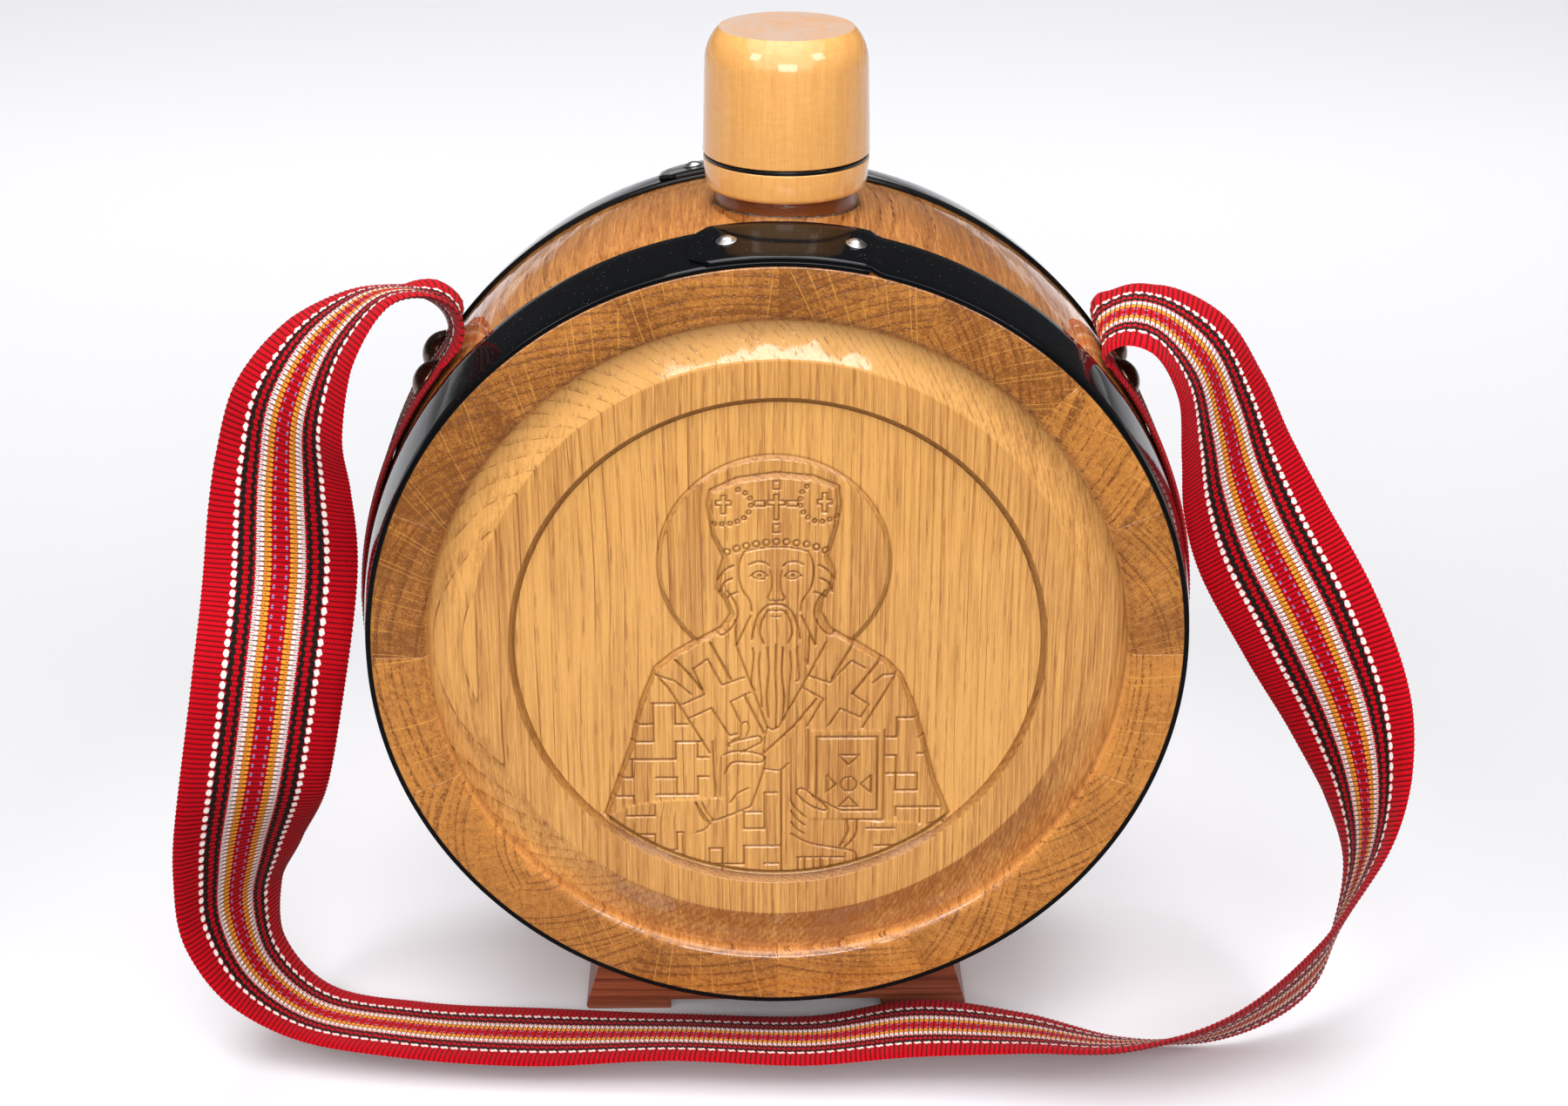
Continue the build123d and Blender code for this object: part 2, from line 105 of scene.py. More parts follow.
class BodySizes(bpy.types.PropertyGroup):
    """Sizes of the staves, heads, hoops and rivets."""

    belly_rise: length_of("Belly rise", 4.5, "How far the belly stands out past the rims")
    wall_thickness: length_of("Wall", 15.2, "Thickness of a stave")
    lip_round: length_of("Lip round", 2.6, "Round on the inner edge of the rim")
    rim_round: length_of("Rim round", 0.5, "Round on the outer edge of the rim")
    joint_bevel: length_of("Joint bevel", 0.1, "Eased edge at the joint of two staves")
    chime_depth: length_of("Chime", 6.5, "Depth of the rim in front of the head")
    croze_depth: length_of("Croze", 2.3, "Depth of the groove that holds the head")
    head_rim_thickness: length_of("Head rim", 5.5, "Thickness of the head in its groove")
    head_rim_gap: length_of("Head gap", 0.1, "Play of the head in its groove")
    head_bevel_rise: length_of("Bevel rise", 3.2, "How far the head stands out past its rim")
    head_bevel_width: length_of("Bevel width", 11.8, "Width of the head's sloping band")
    crease_round: length_of("Crease round", 5.0, "Round where the band meets the flat")
    field_radius: length_of("Field radius", 70.8, "Radius of the carved field")
    field_sink: length_of("Field sink", 1.8, "How far the field lies below the flat")
    hoop_width: length_of("Hoop width", 21.4, "Width of the steel strip")
    hoop_thickness: length_of("Hoop thickness", 1.25, "Thickness of the steel strip")
    hoop_edge: length_of("Hoop edge", 0.28, "Round on the strip's edges")
    lap_length: length_of("Lap", 45.4, "How far the strip's end lies over its start")
    lap_ramp: length_of("Ramp", 3.0, "Length over which the strip steps down")
    lap_corner: length_of("Lap corner", 5.0, "Clipped corner of the strip's end")
    lap_end_front: length_of("Front lap end", -22.5, "Place of the front strip's end")
    lap_end_back: length_of("Back lap end", -32.0, "Place of the back strip's end")
    rivet_margin: length_of("Rivet margin", 9.5, "From the strip's end to the first rivet")
    rivet_pitch: length_of("Rivet pitch", 32.2, "From one rivet to the next")
    rivet_radius: length_of("Rivet radius", 2.7, "Radius of a rivet's head")
    rivet_height: length_of("Rivet height", 1.3, "Height of a rivet's head")


class CarvingSizes(bpy.types.PropertyGroup):
    """Sizes of the carving on the front head."""

    halo_radius: length_of("Halo radius", 31.0, "Radius of the disc behind the head")
    halo_shift: length_of("Halo shift", -1.1, "How far right of the middle the disc lies")
    halo_lift: length_of("Halo lift", 25.1, "How far above the middle the disc lies")
    halo_rise: length_of("Halo rise", 0.8, "How far the disc stands up from the field")
    figure_rise: length_of("Figure rise", 1.5, "How far the figure stands up from the field")
    margin: length_of("Margin", 1.1, "Room between the figure and the field's edge")
    slope: length_of("Slope", 1.1, "Width of the sloping edges")
    overlap: length_of("Overlap", 1.0, "How far the field runs in under the rim's edge")
    cell: length_of("Cell", 0.3, "Spacing of the carving's points")


class NeckSizes(bpy.types.PropertyGroup):
    """Sizes of the neck, the cap and their thread."""

    offset: length_of("Offset", 2.5, "How far the neck stands right of the top joint")
    tube_wall: length_of("Tube wall", 3.0, "Wall of the neck tube")
    bore_radius: length_of("Bore", 9.5, "Inner radius of the neck tube")
    gap: length_of("Gap", 0.1, "Play between the tube and the wood")
    collar_round: length_of("Collar round", 1.8, "Round at the collar's foot")
    collar_draft: length_of("Collar draft", 0.7, "How much wider the collar is at its top")
    flange_thickness: length_of("Flange", 1.0, "Thickness of the dark line under the cap")
    cap_side: length_of("Cap side", 23.8, "Height of the cap's straight side")
    cap_draft: length_of("Cap draft", 0.7, "How much narrower the cap's side is at its top")
    cap_top_radius: length_of("Cap top", 17.75, "Radius of the cap's flat top")
    edge: length_of("Edge", 0.35, "Eased edge of the turned pieces")
    thread_pitch: length_of("Thread pitch", 4.0, "Rise of the thread in a turn")
    thread_height: length_of("Thread height", 0.45, "How far the thread stands out")
    insert_wall: length_of("Lining wall", 1.8, "Wall of the cap's lining")
    insert_gap: length_of("Lining gap", 0.7, "Play between lining and tube")
    seat_spread: length_of("Seat spread", 0.2, "How far the finished ring stands out past its blank")
    glue_bead: length_of("Glue bead", 0.42, "Thickness of the glue squeezed out under the neck")


class BaseSizes(bpy.types.PropertyGroup):
    """Sizes of the block that the canteen stands on."""

    clearance: length_of("Clearance", 15.25, "Room between floor and belly")
    splay: angle_of("Splay", 16.0, "Slope of the block's ends")
    foot_length: length_of("Foot length", 25.4, "Length of each foot")
    foot_height: length_of("Foot height", 3.0, "Height of each foot")
    edge: length_of("Edge", 1.1, "Eased edge of the block")


class StrapSizes(bpy.types.PropertyGroup):
    """Sizes of the webbing and its nails."""

    width: length_of("Width", 41.5, "Width of the webbing")
    thickness: length_of("Thickness", 1.8, "Thickness of the webbing")
    gap: length_of("Gap", 0.3, "Room between webbing and belly")
    leave_angle: angle_of("Leaves at", 52.0, "Where the webbing leaves the belly")
    step_angle: angle_of("Step", 4.0, "Spacing of its places on the belly")
    tail: length_of("Tail", 12.0, "Webbing past the last nail")
    rib_pitch: length_of("Rib pitch", 1.4, "Spacing of the woven ribs")
    rib_height: length_of("Rib height", 0.3, "How far a rib stands out")
    upper_stud_angle: angle_of("Upper nails", 55.2, "Angle of the pair of nails")
    upper_stud_pitch: length_of("Nail pitch", 24.0, "Spacing of the pair of nails")
    stud_shift: length_of("Nail shift", 1.0, "How far the nails lie behind the middle")
    lower_stud_angle: angle_of("Lower nail", 92.5, "Angle of the single nail")
    stud_radius: length_of("Nail radius", 5.6, "Radius of a nail's head")
    stud_height: length_of("Nail height", 3.2, "Height of a nail's head")
    stud_rim: length_of("Nail rim", 0.45, "Rolled rim of a nail's head")


class Finishes(bpy.types.PropertyGroup):
    """Colours of the canteen."""

    oak_light: colour_of("Oak, light", (211, 156, 87), "Light wood of the heads")
    oak_dark: colour_of("Oak, dark", (148, 92, 46), "Dark bands of the heads")
    oak_pore: colour_of("Oak pores", (100, 48, 10), "Pores of the oak")
    oak_ray: colour_of("Oak rays", (216, 156, 74), "Rays of the oak")
    stave_light: colour_of("Staves, light", (210, 143, 76), "Light wood of the staves")
    stave_dark: colour_of("Staves, dark", (154, 93, 42), "Dark bands of the staves")
    end_light: colour_of("End grain, light", (189, 124, 56), "Light wood on the ends of the staves")
    end_dark: colour_of("End grain, dark", (118, 68, 26), "Dark bands on the ends of the staves")
    cap_light: colour_of("Cap, light", (218, 164, 96), "Light wood of neck and cap")
    cap_dark: colour_of("Cap, dark", (196, 132, 66), "Dark bands of neck and cap")
    cap_top: colour_of("Cap top", (178, 166, 158), "Bare wood on top of the cap")
    seat_wood: colour_of("Seat", (88, 46, 26), "Wood of the ring under the neck")
    base_light: colour_of("Block, light", (168, 92, 58), "Light wood of the block")
    base_dark: colour_of("Block, dark", (96, 44, 30), "Dark bands of the block")
    enamel: colour_of("Enamel", (9, 10, 12), "Black enamel of the hoops")
    steel: colour_of("Steel", (196, 194, 192), "Bare steel of the rivets")
    bronze: colour_of("Bronze", (122, 98, 80), "Brown bronze of the nails")
    plastic: colour_of("Plastic", (16, 14, 14), "Black plastic of the neck tube")
    rubber: colour_of("Seal", (214, 210, 200), "Sealing disc in the cap")
    glue: colour_of("Glue", (26, 13, 8), "Glue under the neck")
    strap_red: colour_of("Red", (185, 3, 22), "Red yarn")
    strap_white: colour_of("White", (232, 218, 214), "White yarn")
    strap_yellow: colour_of("Yellow", (226, 152, 52), "Yellow yarn")
    strap_black: colour_of("Black", (34, 24, 22), "Black yarn")
    strap_lilac: colour_of("Lilac", (170, 140, 196), "Lilac yarn")


class StageSettings(bpy.types.PropertyGroup):
    """The floor, the lamps and the camera."""

    floor: colour_of("Floor", (196, 196, 198), "Colour of the floor")
    # Painted light: the far floor and the floor round the body's foot take lighter colours that stand in
    # for more light there.
    far_floor_painted_light: colour_of("Far floor", (232, 232, 236), "Colour of the floor far behind")
    painted_light_under_body: colour_of("Floor below", (222, 221, 225), "Colour of the floor round the body's foot")
    cloth_end: length_of("Cloth end", -76, "Where the white cloth ends in front, out of view")
    room: FloatProperty(name="Room light", description="Light from all round", default=0.07)
    sky: FloatProperty(name="Ceiling light", description="Light from above", default=0.3)
    back: FloatProperty(name="Wall light", description="Light from the white wall behind", default=0.9)
    lens: FloatProperty(name="Lens", description="Focal length", default=58.0, unit="CAMERA")
    front_power: power_of("Front lamp", 11.0, "Soft lamp behind the camera")
    side_power: power_of("Side lamps", 5.0, "Lamps on the left and right")
    top_power: power_of("Top lamp", 40.0, "Soft lamp above and in front")
    back_power: power_of("Back lamp", 66.0, "Soft lamp above the cloth behind")
    key_power: power_of("Key lamp", 22.3, "Nearer lamp above and in front")
    camera_height: length_of("Camera height", 430.2, "Height of the camera")
    camera_distance: length_of("Camera distance", 654.6, "How far in front the camera stands")
    camera_shift: length_of("Camera shift", -9.5, "How far right of the middle the camera stands")


# The strap's free run, left nails to right nails. Each row is a place, as shares of the
# body's radius along X and Y and of the centre's height along Z, then the direction across
# the webbing towards the edge that lies at the back on the nails.
STRAP_ROUTE_SHARES = [
    (-0.801, -0.003, 1.582, 0.00, 1.00, 0.00),
    (-0.810, -0.012, 1.625, -0.10, 0.99, -0.12),
    (-0.845, -0.030, 1.664, -0.27, 0.94, -0.22),
    (-0.905, -0.055, 1.688, -0.33, 0.92, -0.24),
    (-0.985, -0.088, 1.684, -0.38, 0.90, -0.20),
    (-1.105, -0.150, 1.604, -0.55, 0.83, 0.00),
    (-1.185, -0.195, 1.475, -0.76, 0.62, 0.15),
    (-1.215, -0.195, 1.325, -0.92, 0.35, 0.16),
    (-1.235, -0.225, 1.100, -0.98, -0.07, 0.18),
    (-1.265, -0.330, 0.895, -0.94, -0.24, 0.22),
    (-1.315, -0.370, 0.670, -0.91, -0.35, 0.21),
    (-1.385, -0.315, 0.455, -0.75, -0.65, 0.10),
    (-1.415, -0.290, 0.305, -0.53, -0.85, 0.05),
    (-1.370, -0.305, 0.165, -0.26, -0.96, 0.12),
    (-1.235, -0.340, 0.070, -0.13, -0.97, 0.22),
    (-0.970, -0.390, 0.046, -0.12, -0.97, 0.22),
    (-0.620, -0.425, 0.043, -0.11, -0.97, 0.20),
    (-0.260, -0.450, 0.055, -0.10, -0.95, 0.28),
    (0.090, -0.470, 0.056, -0.09, -0.96, 0.26),
    (0.360, -0.475, 0.090, -0.10, -0.97, 0.20),
    (0.625, -0.510, 0.095, -0.11, -0.95, 0.32),
    (0.885, -0.560, 0.092, -0.10, -0.86, 0.50),
    (1.145, -0.555, 0.130, -0.12, -0.73, 0.67),
    (1.370, -0.470, 0.220, -0.17, -0.64, 0.75),
    (1.470, -0.375, 0.320, -0.06, -0.71, 0.70),
    (1.540, -0.275, 0.435, 0.12, -0.77, 0.63),
    (1.545, -0.180, 0.560, 0.40, -0.71, 0.58),
    (1.505, -0.095, 0.695, 0.68, -0.51, 0.53),
    (1.390, -0.035, 0.900, 0.85, -0.12, 0.50),
    (1.260, 0.005, 1.095, 0.87, 0.22, 0.44),
    (1.185, 0.005, 1.240, 0.78, 0.48, 0.40),
    (1.130, -0.015, 1.385, 0.63, 0.67, 0.38),
    (1.060, -0.035, 1.525, 0.43, 0.84, 0.30),
    (0.940, -0.035, 1.618, 0.20, 0.97, 0.14),
    (0.865, -0.020, 1.624, 0.12, 0.99, 0.08),
    (0.812, -0.006, 1.590, 0.02, 1.00, 0.00),
]

# How each stave lay in its log: the turn of its rays off the stave's own radius in degrees,
# its distance from the pith in millimetres and its tone, light to dark.
STAVE_LOGS = [
    (24, 95, 0.65), (-34, 70, 0.68), (-58, 120, 0.36), (18, 60, 0.5),
    (4, 140, 0.1), (-22, 80, 0.25), (30, 65, 0.42), (-12, 110, 0.40),
    (12, 90, 0.50), (38, 60, 0.45), (-26, 55, 0.30), (2, 130, 0.24),
    (-8, 85, 0.76), (-28, 75, 0.90), (-20, 100, 0.55), (-4, 90, 0.66),
]


# Carving on the front head. Places are millimetres right of and above the body's middle.
FACE_MIDDLE = -0.6
FIGURE_OUTLINE = [
    (-14.5, 27.2), (-17.3, 33.2), (-18.8, 42.4), (-18.0, 46.4), (-11.0, 49.8), (-0.6, 51.3),
    (9.2, 50.3), (15.7, 47.5), (16.2, 42.8), (15.4, 35.8), (13.1, 27.6), (15.0, 22.6), (14.2, 18.0),
    (11.7, 14.9), (11.3, 11.0), (14.1, 6.0), (23.0, 0.5), (29.5, -3.9), (33.3, -8.1), (37.2, -17.4),
    (40.2, -28.7), (43.2, -40.3), (51.0, -60.2), (0.0, -81.4), (-51.0, -60.2), (-43.5, -38.6),
    (-40.0, -28.3), (-37.4, -16.3), (-33.4, -5.7), (-28.5, -1.4), (-21.8, 2.8), (-15.2, 6.7),
    (-12.7, 10.6), (-14.2, 14.9), (-16.4, 18.0), (-15.9, 22.6),
]
BOOK_RISE = 0.2
BOOK_SLOPE = 0.9
BOOK_OUTLINE = [(8.2, -24.0), (29.0, -24.0), (29.2, -52.6), (8.2, -52.6)]
MIRRORED_STROKES = [
    ([(-7.7, 25.3), (-5.7, 26.1), (-3.6, 25.8), (-2.5, 24.9)], 0.45, 0.45),
    ([(-7.3, 22.0), (-5.9, 23.1), (-4.2, 23.1), (-2.9, 21.9)], 0.4, 0.45),
    ([(-7.3, 22.0), (-5.7, 21.2), (-4.1, 21.1), (-2.9, 21.9)], 0.35, 0.35),
    ([(-2.1, 23.4), (-1.7, 20.6), (-2.0, 17.6), (-2.8, 15.7), (-2.2, 14.7), (-1.3, 14.8)], 0.4, 0.35),
    ([(-0.8, 13.6), (-2.9, 13.2), (-5.2, 10.7), (-6.5, 6.8), (-7.1, 3.2)], 0.5, 0.5),
    ([(-2.9, 11.6), (-4.4, 8.6), (-4.9, 5.0), (-3.9, 2.0)], 0.45, 0.45),
    ([(-9.0, 29.1), (-10.3, 26.0), (-10.5, 22.0), (-9.6, 18.0), (-7.6, 14.6), (-7.1, 11.6)], 0.45, 0.45),
    ([(-11.6, 9.0), (-11.2, 1.4)], 0.45, 0.5),
    ([(-11.2, 1.4), (-9.4, 5.6), (-7.4, 10.2)], 0.45, 0.5),
    ([(-12.0, 25.0), (-14.4, 23.4), (-16.2, 20.4)], 0.5, 0.55),
    ([(-12.4, 21.2), (-14.5, 19.8), (-15.6, 17.0)], 0.5, 0.55),
    ([(-10.8, 17.2), (-12.4, 16.6), (-13.6, 15.4)], 0.45, 0.5),
    ([(-13.6, 17.6), (-11.2, 13.4), (-10.9, 9.8), (-12.6, 6.6), (-14.9, 4.6), (-16.4, 5.2)], 0.45, 0.5),
]
FACE_STROKES = [
    ([(-2.9, 11.6), (-1.6, 11.9), (-0.6, 11.6), (0.4, 11.9), (1.7, 11.6)], 0.35, 0.4),
    ([(-1.9, 10.2), (-0.6, 9.8), (0.7, 10.2)], 0.35, 0.3),
    ([(-1.3, 14.8), (-0.6, 14.3), (0.1, 14.8)], 0.4, 0.4),
    ([(-9.0, 29.1), (-5.5, 29.9), (-0.6, 30.4), (4.3, 30.0), (7.8, 29.1)], 0.35, 0.4),
]
# The long locks of the beard: where each starts, its lower end and its sway.
BEARD_LOCKS = [
    (-6.9, 0.6, -12.2, 0.3), (-4.9, -0.8, -17.3, -0.3), (-2.8, 0.8, -20.6, 0.3),
    (-0.6, 1.6, -24.0, -0.2), (1.3, 0.8, -21.6, -0.3), (3.2, -0.6, -18.0, 0.3),
    (5.4, 1.0, -9.4, -0.3), (8.2, 2.4, -2.8, 0.2),
]
ROBE_STROKES = [
    ([(-11.2, 1.4), (-10.6, -0.6), (-2.9, -23.6), (-1.4, -24.3), (0.2, -23.4), (8.0, -8.0), (13.0, 2.4)],
     0.45, 0.5),
    ([(-27.8, -2.9), (-24.0, -7.2), (-20.6, -12.0)], 0.6, 0.6),
    ([(-18.2, 2.2), (-12.8, -8.8)], 0.6, 0.6),
    ([(-22.9, -5.6), (-19.0, -2.6), (-15.2, -10.5), (-9.2, -8.2)], 0.45, 0.45),
    ([(-7.6, -12.8), (-12.9, -15.6), (-10.2, -22.0)], 0.45, 0.45),
    ([(-22.9, -5.6), (-20.0, -13.4), (-26.0, -16.4)], 0.45, 0.45),
    ([(-24.0, -20.5), (-18.1, -17.5), (-13.2, -26.0), (-11.0, -25.4)], 0.45, 0.45),
    ([(-9.2, -13.6), (-3.8, -25.4)], 0.6, 0.6),
    ([(-33.0, -7.4), (-29.6, -11.4), (-18.6, -31.4)], 0.5, 0.5),
    ([(-33.0, -7.4), (-28.0, -9.2), (-23.6, -13.2)], 0.45, 0.45),
    ([(20.4, 2.2), (14.6, -8.6)], 0.6, 0.6),
    ([(8.1, -7.7), (13.9, -10.0), (19.8, -3.3), (23.6, -5.6)], 0.45, 0.45),
    ([(6.8, -11.5), (12.3, -14.9), (7.8, -23.4)], 0.45, 0.45),
    ([(10.4, -14.9), (4.6, -22.8), (-3.9, -31.6)], 0.55, 0.55),
    ([(27.6, -2.9), (20.1, -13.4)], 0.6, 0.6),
    ([(20.1, -13.4), (24.7, -16.7), (22.4, -20.5), (16.9, -17.8), (13.6, -23.2)], 0.45, 0.45),
    ([(31.9, -7.4), (23.1, -23.6)], 0.5, 0.5),
    ([(25.7, -10.0), (28.4, -7.6), (32.2, -7.4)], 0.45, 0.45),
    ([(-3.9, -31.6), (-3.6, -26.6), (-2.9, -23.6)], 0.4, 0.4),
    ([(-3.9, -36.4), (0.6, -37.0), (2.9, -34.6)], 0.4, 0.4),
    ([(0.8, -37.0), (1.0, -69.6)], 0.45, 0.45),
    ([(3.4, -27.0), (3.6, -46.0)], 0.35, 0.25),
    ([(-17.9, -27.8), (-17.2, -45.0)], 0.4, 0.35),
    ([(-15.6, -32.6), (-15.9, -44.8)], 0.35, 0.25),
]
HAND_STROKES = [
    ([(-13.4, -29.4), (-12.9, -28.2), (-6.0, -26.3), (-4.6, -26.9), (-5.0, -28.4), (-10.1, -31.2)],
     0.45, 0.5),
    ([(-14.8, -32.0), (-12.1, -30.9), (-7.4, -31.2), (-3.7, -32.6), (-4.8, -34.4), (-11.6, -34.2),
      (-13.6, -35.6), (-14.5, -38.0)], 0.45, 0.5),
    ([(-3.7, -32.8), (-3.9, -36.5), (-7.0, -46.8), (-8.6, -48.8), (-18.0, -52.8), (-20.0, -51.6),
      (-22.7, -46.8)], 0.45, 0.5),
    ([(-8.1, -42.4), (-11.2, -44.2), (-13.1, -46.9)], 0.45, 0.45),
    ([(-12.6, -27.6), (-10.2, -26.4), (-10.0, -22.8), (-8.6, -21.8), (-7.9, -23.6), (-8.6, -26.2)],
     0.4, 0.4),
    ([(-22.6, -47.0), (-21.2, -51.0), (-18.8, -54.0)], 0.45, 0.45),
    ([(-20.9, -46.8), (-19.6, -50.0), (-17.6, -52.8)], 0.4, 0.4),
    ([(-22.6, -56.4), (-20.2, -55.4), (-18.6, -53.4)], 0.45, 0.45),
    ([(5.2, -44.4), (5.4, -43.2), (7.0, -42.8), (12.0, -46.4), (17.2, -49.4)], 0.45, 0.5),
    ([(5.2, -44.4), (8.4, -47.6), (12.4, -49.4), (13.6, -48.6), (9.6, -45.0)], 0.45, 0.5),
    ([(3.4, -46.2), (5.0, -49.0), (7.8, -51.8)], 0.4, 0.45),
    ([(3.6, -49.6), (5.2, -52.2), (7.6, -54.4)], 0.4, 0.45),
    ([(3.7, -53.2), (5.2, -55.4), (7.4, -57.0)], 0.4, 0.45),
    ([(3.7, -57.0), (8.7, -60.0), (17.2, -61.8), (21.4, -63.0), (22.2, -66.4)], 0.45, 0.45),
    ([(19.2, -52.9), (19.5, -56.4), (17.2, -61.2)], 0.45, 0.45),
    ([(21.9, -52.9), (21.6, -57.4), (18.5, -61.8)], 0.45, 0.45),
    ([(5.4, -64.6), (18.5, -64.6)], 0.45, 0.45),
]
BOOK_STROKES = [
    ([(10.6, -44.6), (10.6, -26.5), (27.2, -26.5), (27.4, -49.5), (17.6, -49.5)], 0.5, 0.5),
    ([(8.3, -42.8), (8.3, -24.3)], 0.5, 0.35),
    ([(18.2, -52.4), (29.2, -52.6), (29.1, -24.3)], 0.5, 0.35),
    ([(16.7, -32.1), (22.3, -32.1), (19.4, -35.2), (16.7, -32.1)], 0.4, 0.45),
    ([(13.4, -38.4), (13.4, -43.8), (16.0, -41.2), (13.4, -38.4)], 0.4, 0.45),
    ([(25.6, -38.4), (25.6, -43.8), (22.8, -41.2), (25.6, -38.4)], 0.4, 0.45),
    ([(16.8, -48.3), (22.2, -48.3), (19.5, -45.3), (16.8, -48.3)], 0.4, 0.45),
    ([(19.5, -39.0), (19.5, -43.4)], 0.4, 0.4),
]
# Woven squares of the robe: level strokes (from, to, height), then upright ones.
LEVEL_STROKES = [
    (-34.3, -28.0, -16.0), (-39.0, -34.0, -22.4), (-28.0, -24.6, -22.4), (-40.0, -34.0, -27.8),
    (-28.0, -20.5, -27.8), (-40.5, -28.0, -33.3), (-22.0, -19.0, -32.7), (-43.8, -39.8, -39.0),
    (-33.5, -27.8, -39.0), (-22.0, -19.0, -38.7), (-33.5, -22.0, -44.3), (-45.4, -39.8, -44.8),
    (-41.8, -34.0, -51.0), (-40.4, -34.0, -57.0), (-32.4, -28.0, -62.0), (-28.0, -26.3, -56.4),
    (-19.0, -15.4, -61.6), (-19.0, -9.4, -66.6), (-9.4, -4.5, -50.0), (-9.4, -3.7, -55.3),
    (-9.4, 0.8, -60.8), (-3.7, 0.2, -66.5), (-3.7, -0.2, -43.9), (32.4, 37.7, -20.7),
    (29.6, 32.4, -26.7), (29.6, 32.4, -32.4), (29.9, 38.2, -38.0), (38.2, 40.1, -31.8),
    (32.4, 38.4, -43.3), (32.6, 44.8, -48.6), (42.0, 46.0, -53.8), (24.6, 32.4, -55.3),
    (27.0, 32.7, -60.9), (38.4, 39.6, -26.7),
]
UPRIGHT_STROKES = [
    (-34.0, -16.0, -22.4), (-28.0, -16.0, -22.4), (-28.0, -27.8, -33.3), (-40.0, -33.3, -39.0),
    (-34.0, -22.4, -27.8), (-27.8, -39.0, -44.3), (-22.0, -27.8, -32.7), (-22.0, -38.7, -44.3),
    (-39.6, -44.8, -47.3), (-34.0, -47.4, -51.0), (-34.0, -57.0, -62.0), (-28.0, -56.4, -62.0),
    (-26.3, -56.4, -65.0), (-19.0, -61.6, -66.6), (-15.4, -61.6, -69.4), (-9.4, -50.0, -55.3),
    (-3.7, -50.0, -55.3), (-9.4, -60.8, -66.6), (-3.7, -43.9, -49.5), (32.4, -20.7, -26.7),
    (32.4, -32.4, -38.0), (32.4, -38.3, -43.3), (38.4, -38.0, -43.3), (32.6, -48.6, -51.4),
    (39.4, -48.6, -53.6), (5.7, -64.8, -69.0), (7.5, -64.8, -69.4), (10.1, -64.8, -69.2),
    (11.9, -64.8, -69.0), (14.6, -64.8, -68.4),
]
# Hems of the sleeves, which stand up from the robe on their lower side: rise, fade, slope.
HEM_SIZES = (0.22, 7.0, 0.8)
HEMS = [
    [(-47.6, -51.6), (-40.0, -47.7), (-31.3, -46.5), (-18.4, -45.6)],
    [(29.0, -53.4), (37.9, -53.8), (42.5, -55.6), (47.2, -53.2)],
]
# The groove along the figure's foot: reach past the figure, half its angle, half width, depth.
FOOT_GROOVE = (0.3, 0.72, 0.75, 0.9)
# Half width and depth of the strokes that have none of their own.
LOCK_CUT = (0.42, 0.45)
LEVEL_CUT = (0.48, 0.5)
UPRIGHT_CUT = (0.42, 0.4)
HAT_CUT = (0.36, 0.45)
RING_CUT = (0.4, 0.45)
# A ring on the book and the pupils: middle, radius.
BOOK_RING = (19.5, -41.2, 2.2)
PUPIL = (4.45, 22.1, 0.35)
CROSS_ARM = 0.65
# The hat: crosses (middle, reach sideways, up and down), bars (middle, width, height), and
# lines of beads (course, number, radius).
HAT_CROSSES = [(-14.5, 43.0, 2.0, 2.1, 3.1), (-0.6, 43.0, 2.3, 2.3, 4.9), (12.1, 43.2, 1.9, 2.6, 2.8)]
HAT_BARS = [(-5.0, 42.8, 2.8, 1.5), (3.7, 42.8, 2.8, 1.5), (-0.5, 48.0, 1.9, 2.3), (-0.5, 35.7, 1.9, 2.3)]
BEAD_LINES = [
    ([(-13.6, 28.9), (-8.3, 30.7), (-0.4, 31.8), (7.7, 31.0), (12.5, 29.3)], 11, 0.85),
    ([(-10.6, 46.7), (-8.0, 45.2), (-7.2, 42.6), (-8.6, 39.2), (-12.0, 37.3), (-16.9, 37.0)], 10, 0.52),
    ([(7.4, 47.6), (5.9, 45.4), (5.8, 41.9), (7.6, 38.9), (11.0, 37.6), (15.3, 38.9)], 10, 0.52),
]


def settings(group):
    """One of the property groups of the scene."""
    return getattr(bpy.context.scene, "canteen_" + group)


# Handling of pieces

def select_only(*pieces):
    """Selects these objects and nothing else; the last one is active."""
    bpy.ops.object.select_all(action="DESELECT")
    for piece in pieces:
        piece.select_set(True)
    bpy.context.view_layer.objects.active = pieces[-1]


@contextmanager
def editing(piece):
    """Edit mode on one piece, all of it selected."""
    select_only(piece)
    bpy.ops.object.mode_set(mode="EDIT")
    bpy.ops.mesh.select_mode(type="VERT")
    bpy.ops.mesh.select_all(action="SELECT")
    yield
    bpy.ops.object.mode_set(mode="OBJECT")


def choose(piece, wanted, kind="faces"):
    """Selects what passes a test, in edit mode."""
    bpy.ops.mesh.select_mode(type={"verts": "VERT", "edges": "EDGE", "faces": "FACE"}[kind])
    bpy.ops.mesh.select_all(action="DESELECT")
    form = bmesh.from_edit_mesh(piece.data)
    for part in getattr(form, kind):
        if wanted(part):
            part.select_set(True)
    form.select_flush_mode()
    bmesh.update_edit_mesh(piece.data)


def place_mesh(piece, matrix):
    """Moves the piece by a matrix and leaves its object at the origin."""
    piece.matrix_world = matrix
    select_only(piece)
    bpy.ops.object.transform_apply(location=True, rotation=True, scale=True)


def face_outwards():
    """Turns all faces of the piece in edit mode outwards."""
    bpy.ops.mesh.select_all(action="SELECT")
    bpy.ops.mesh.normals_make_consistent(inside=False)


def tidy(piece, sharp=30):
    """Closes seams, turns the faces outwards and shades it smooth up to an angle."""
    with editing(piece):
        bpy.ops.mesh.remove_doubles(threshold=0.002 * MM)
        face_outwards()
    smooth(piece, sharp)


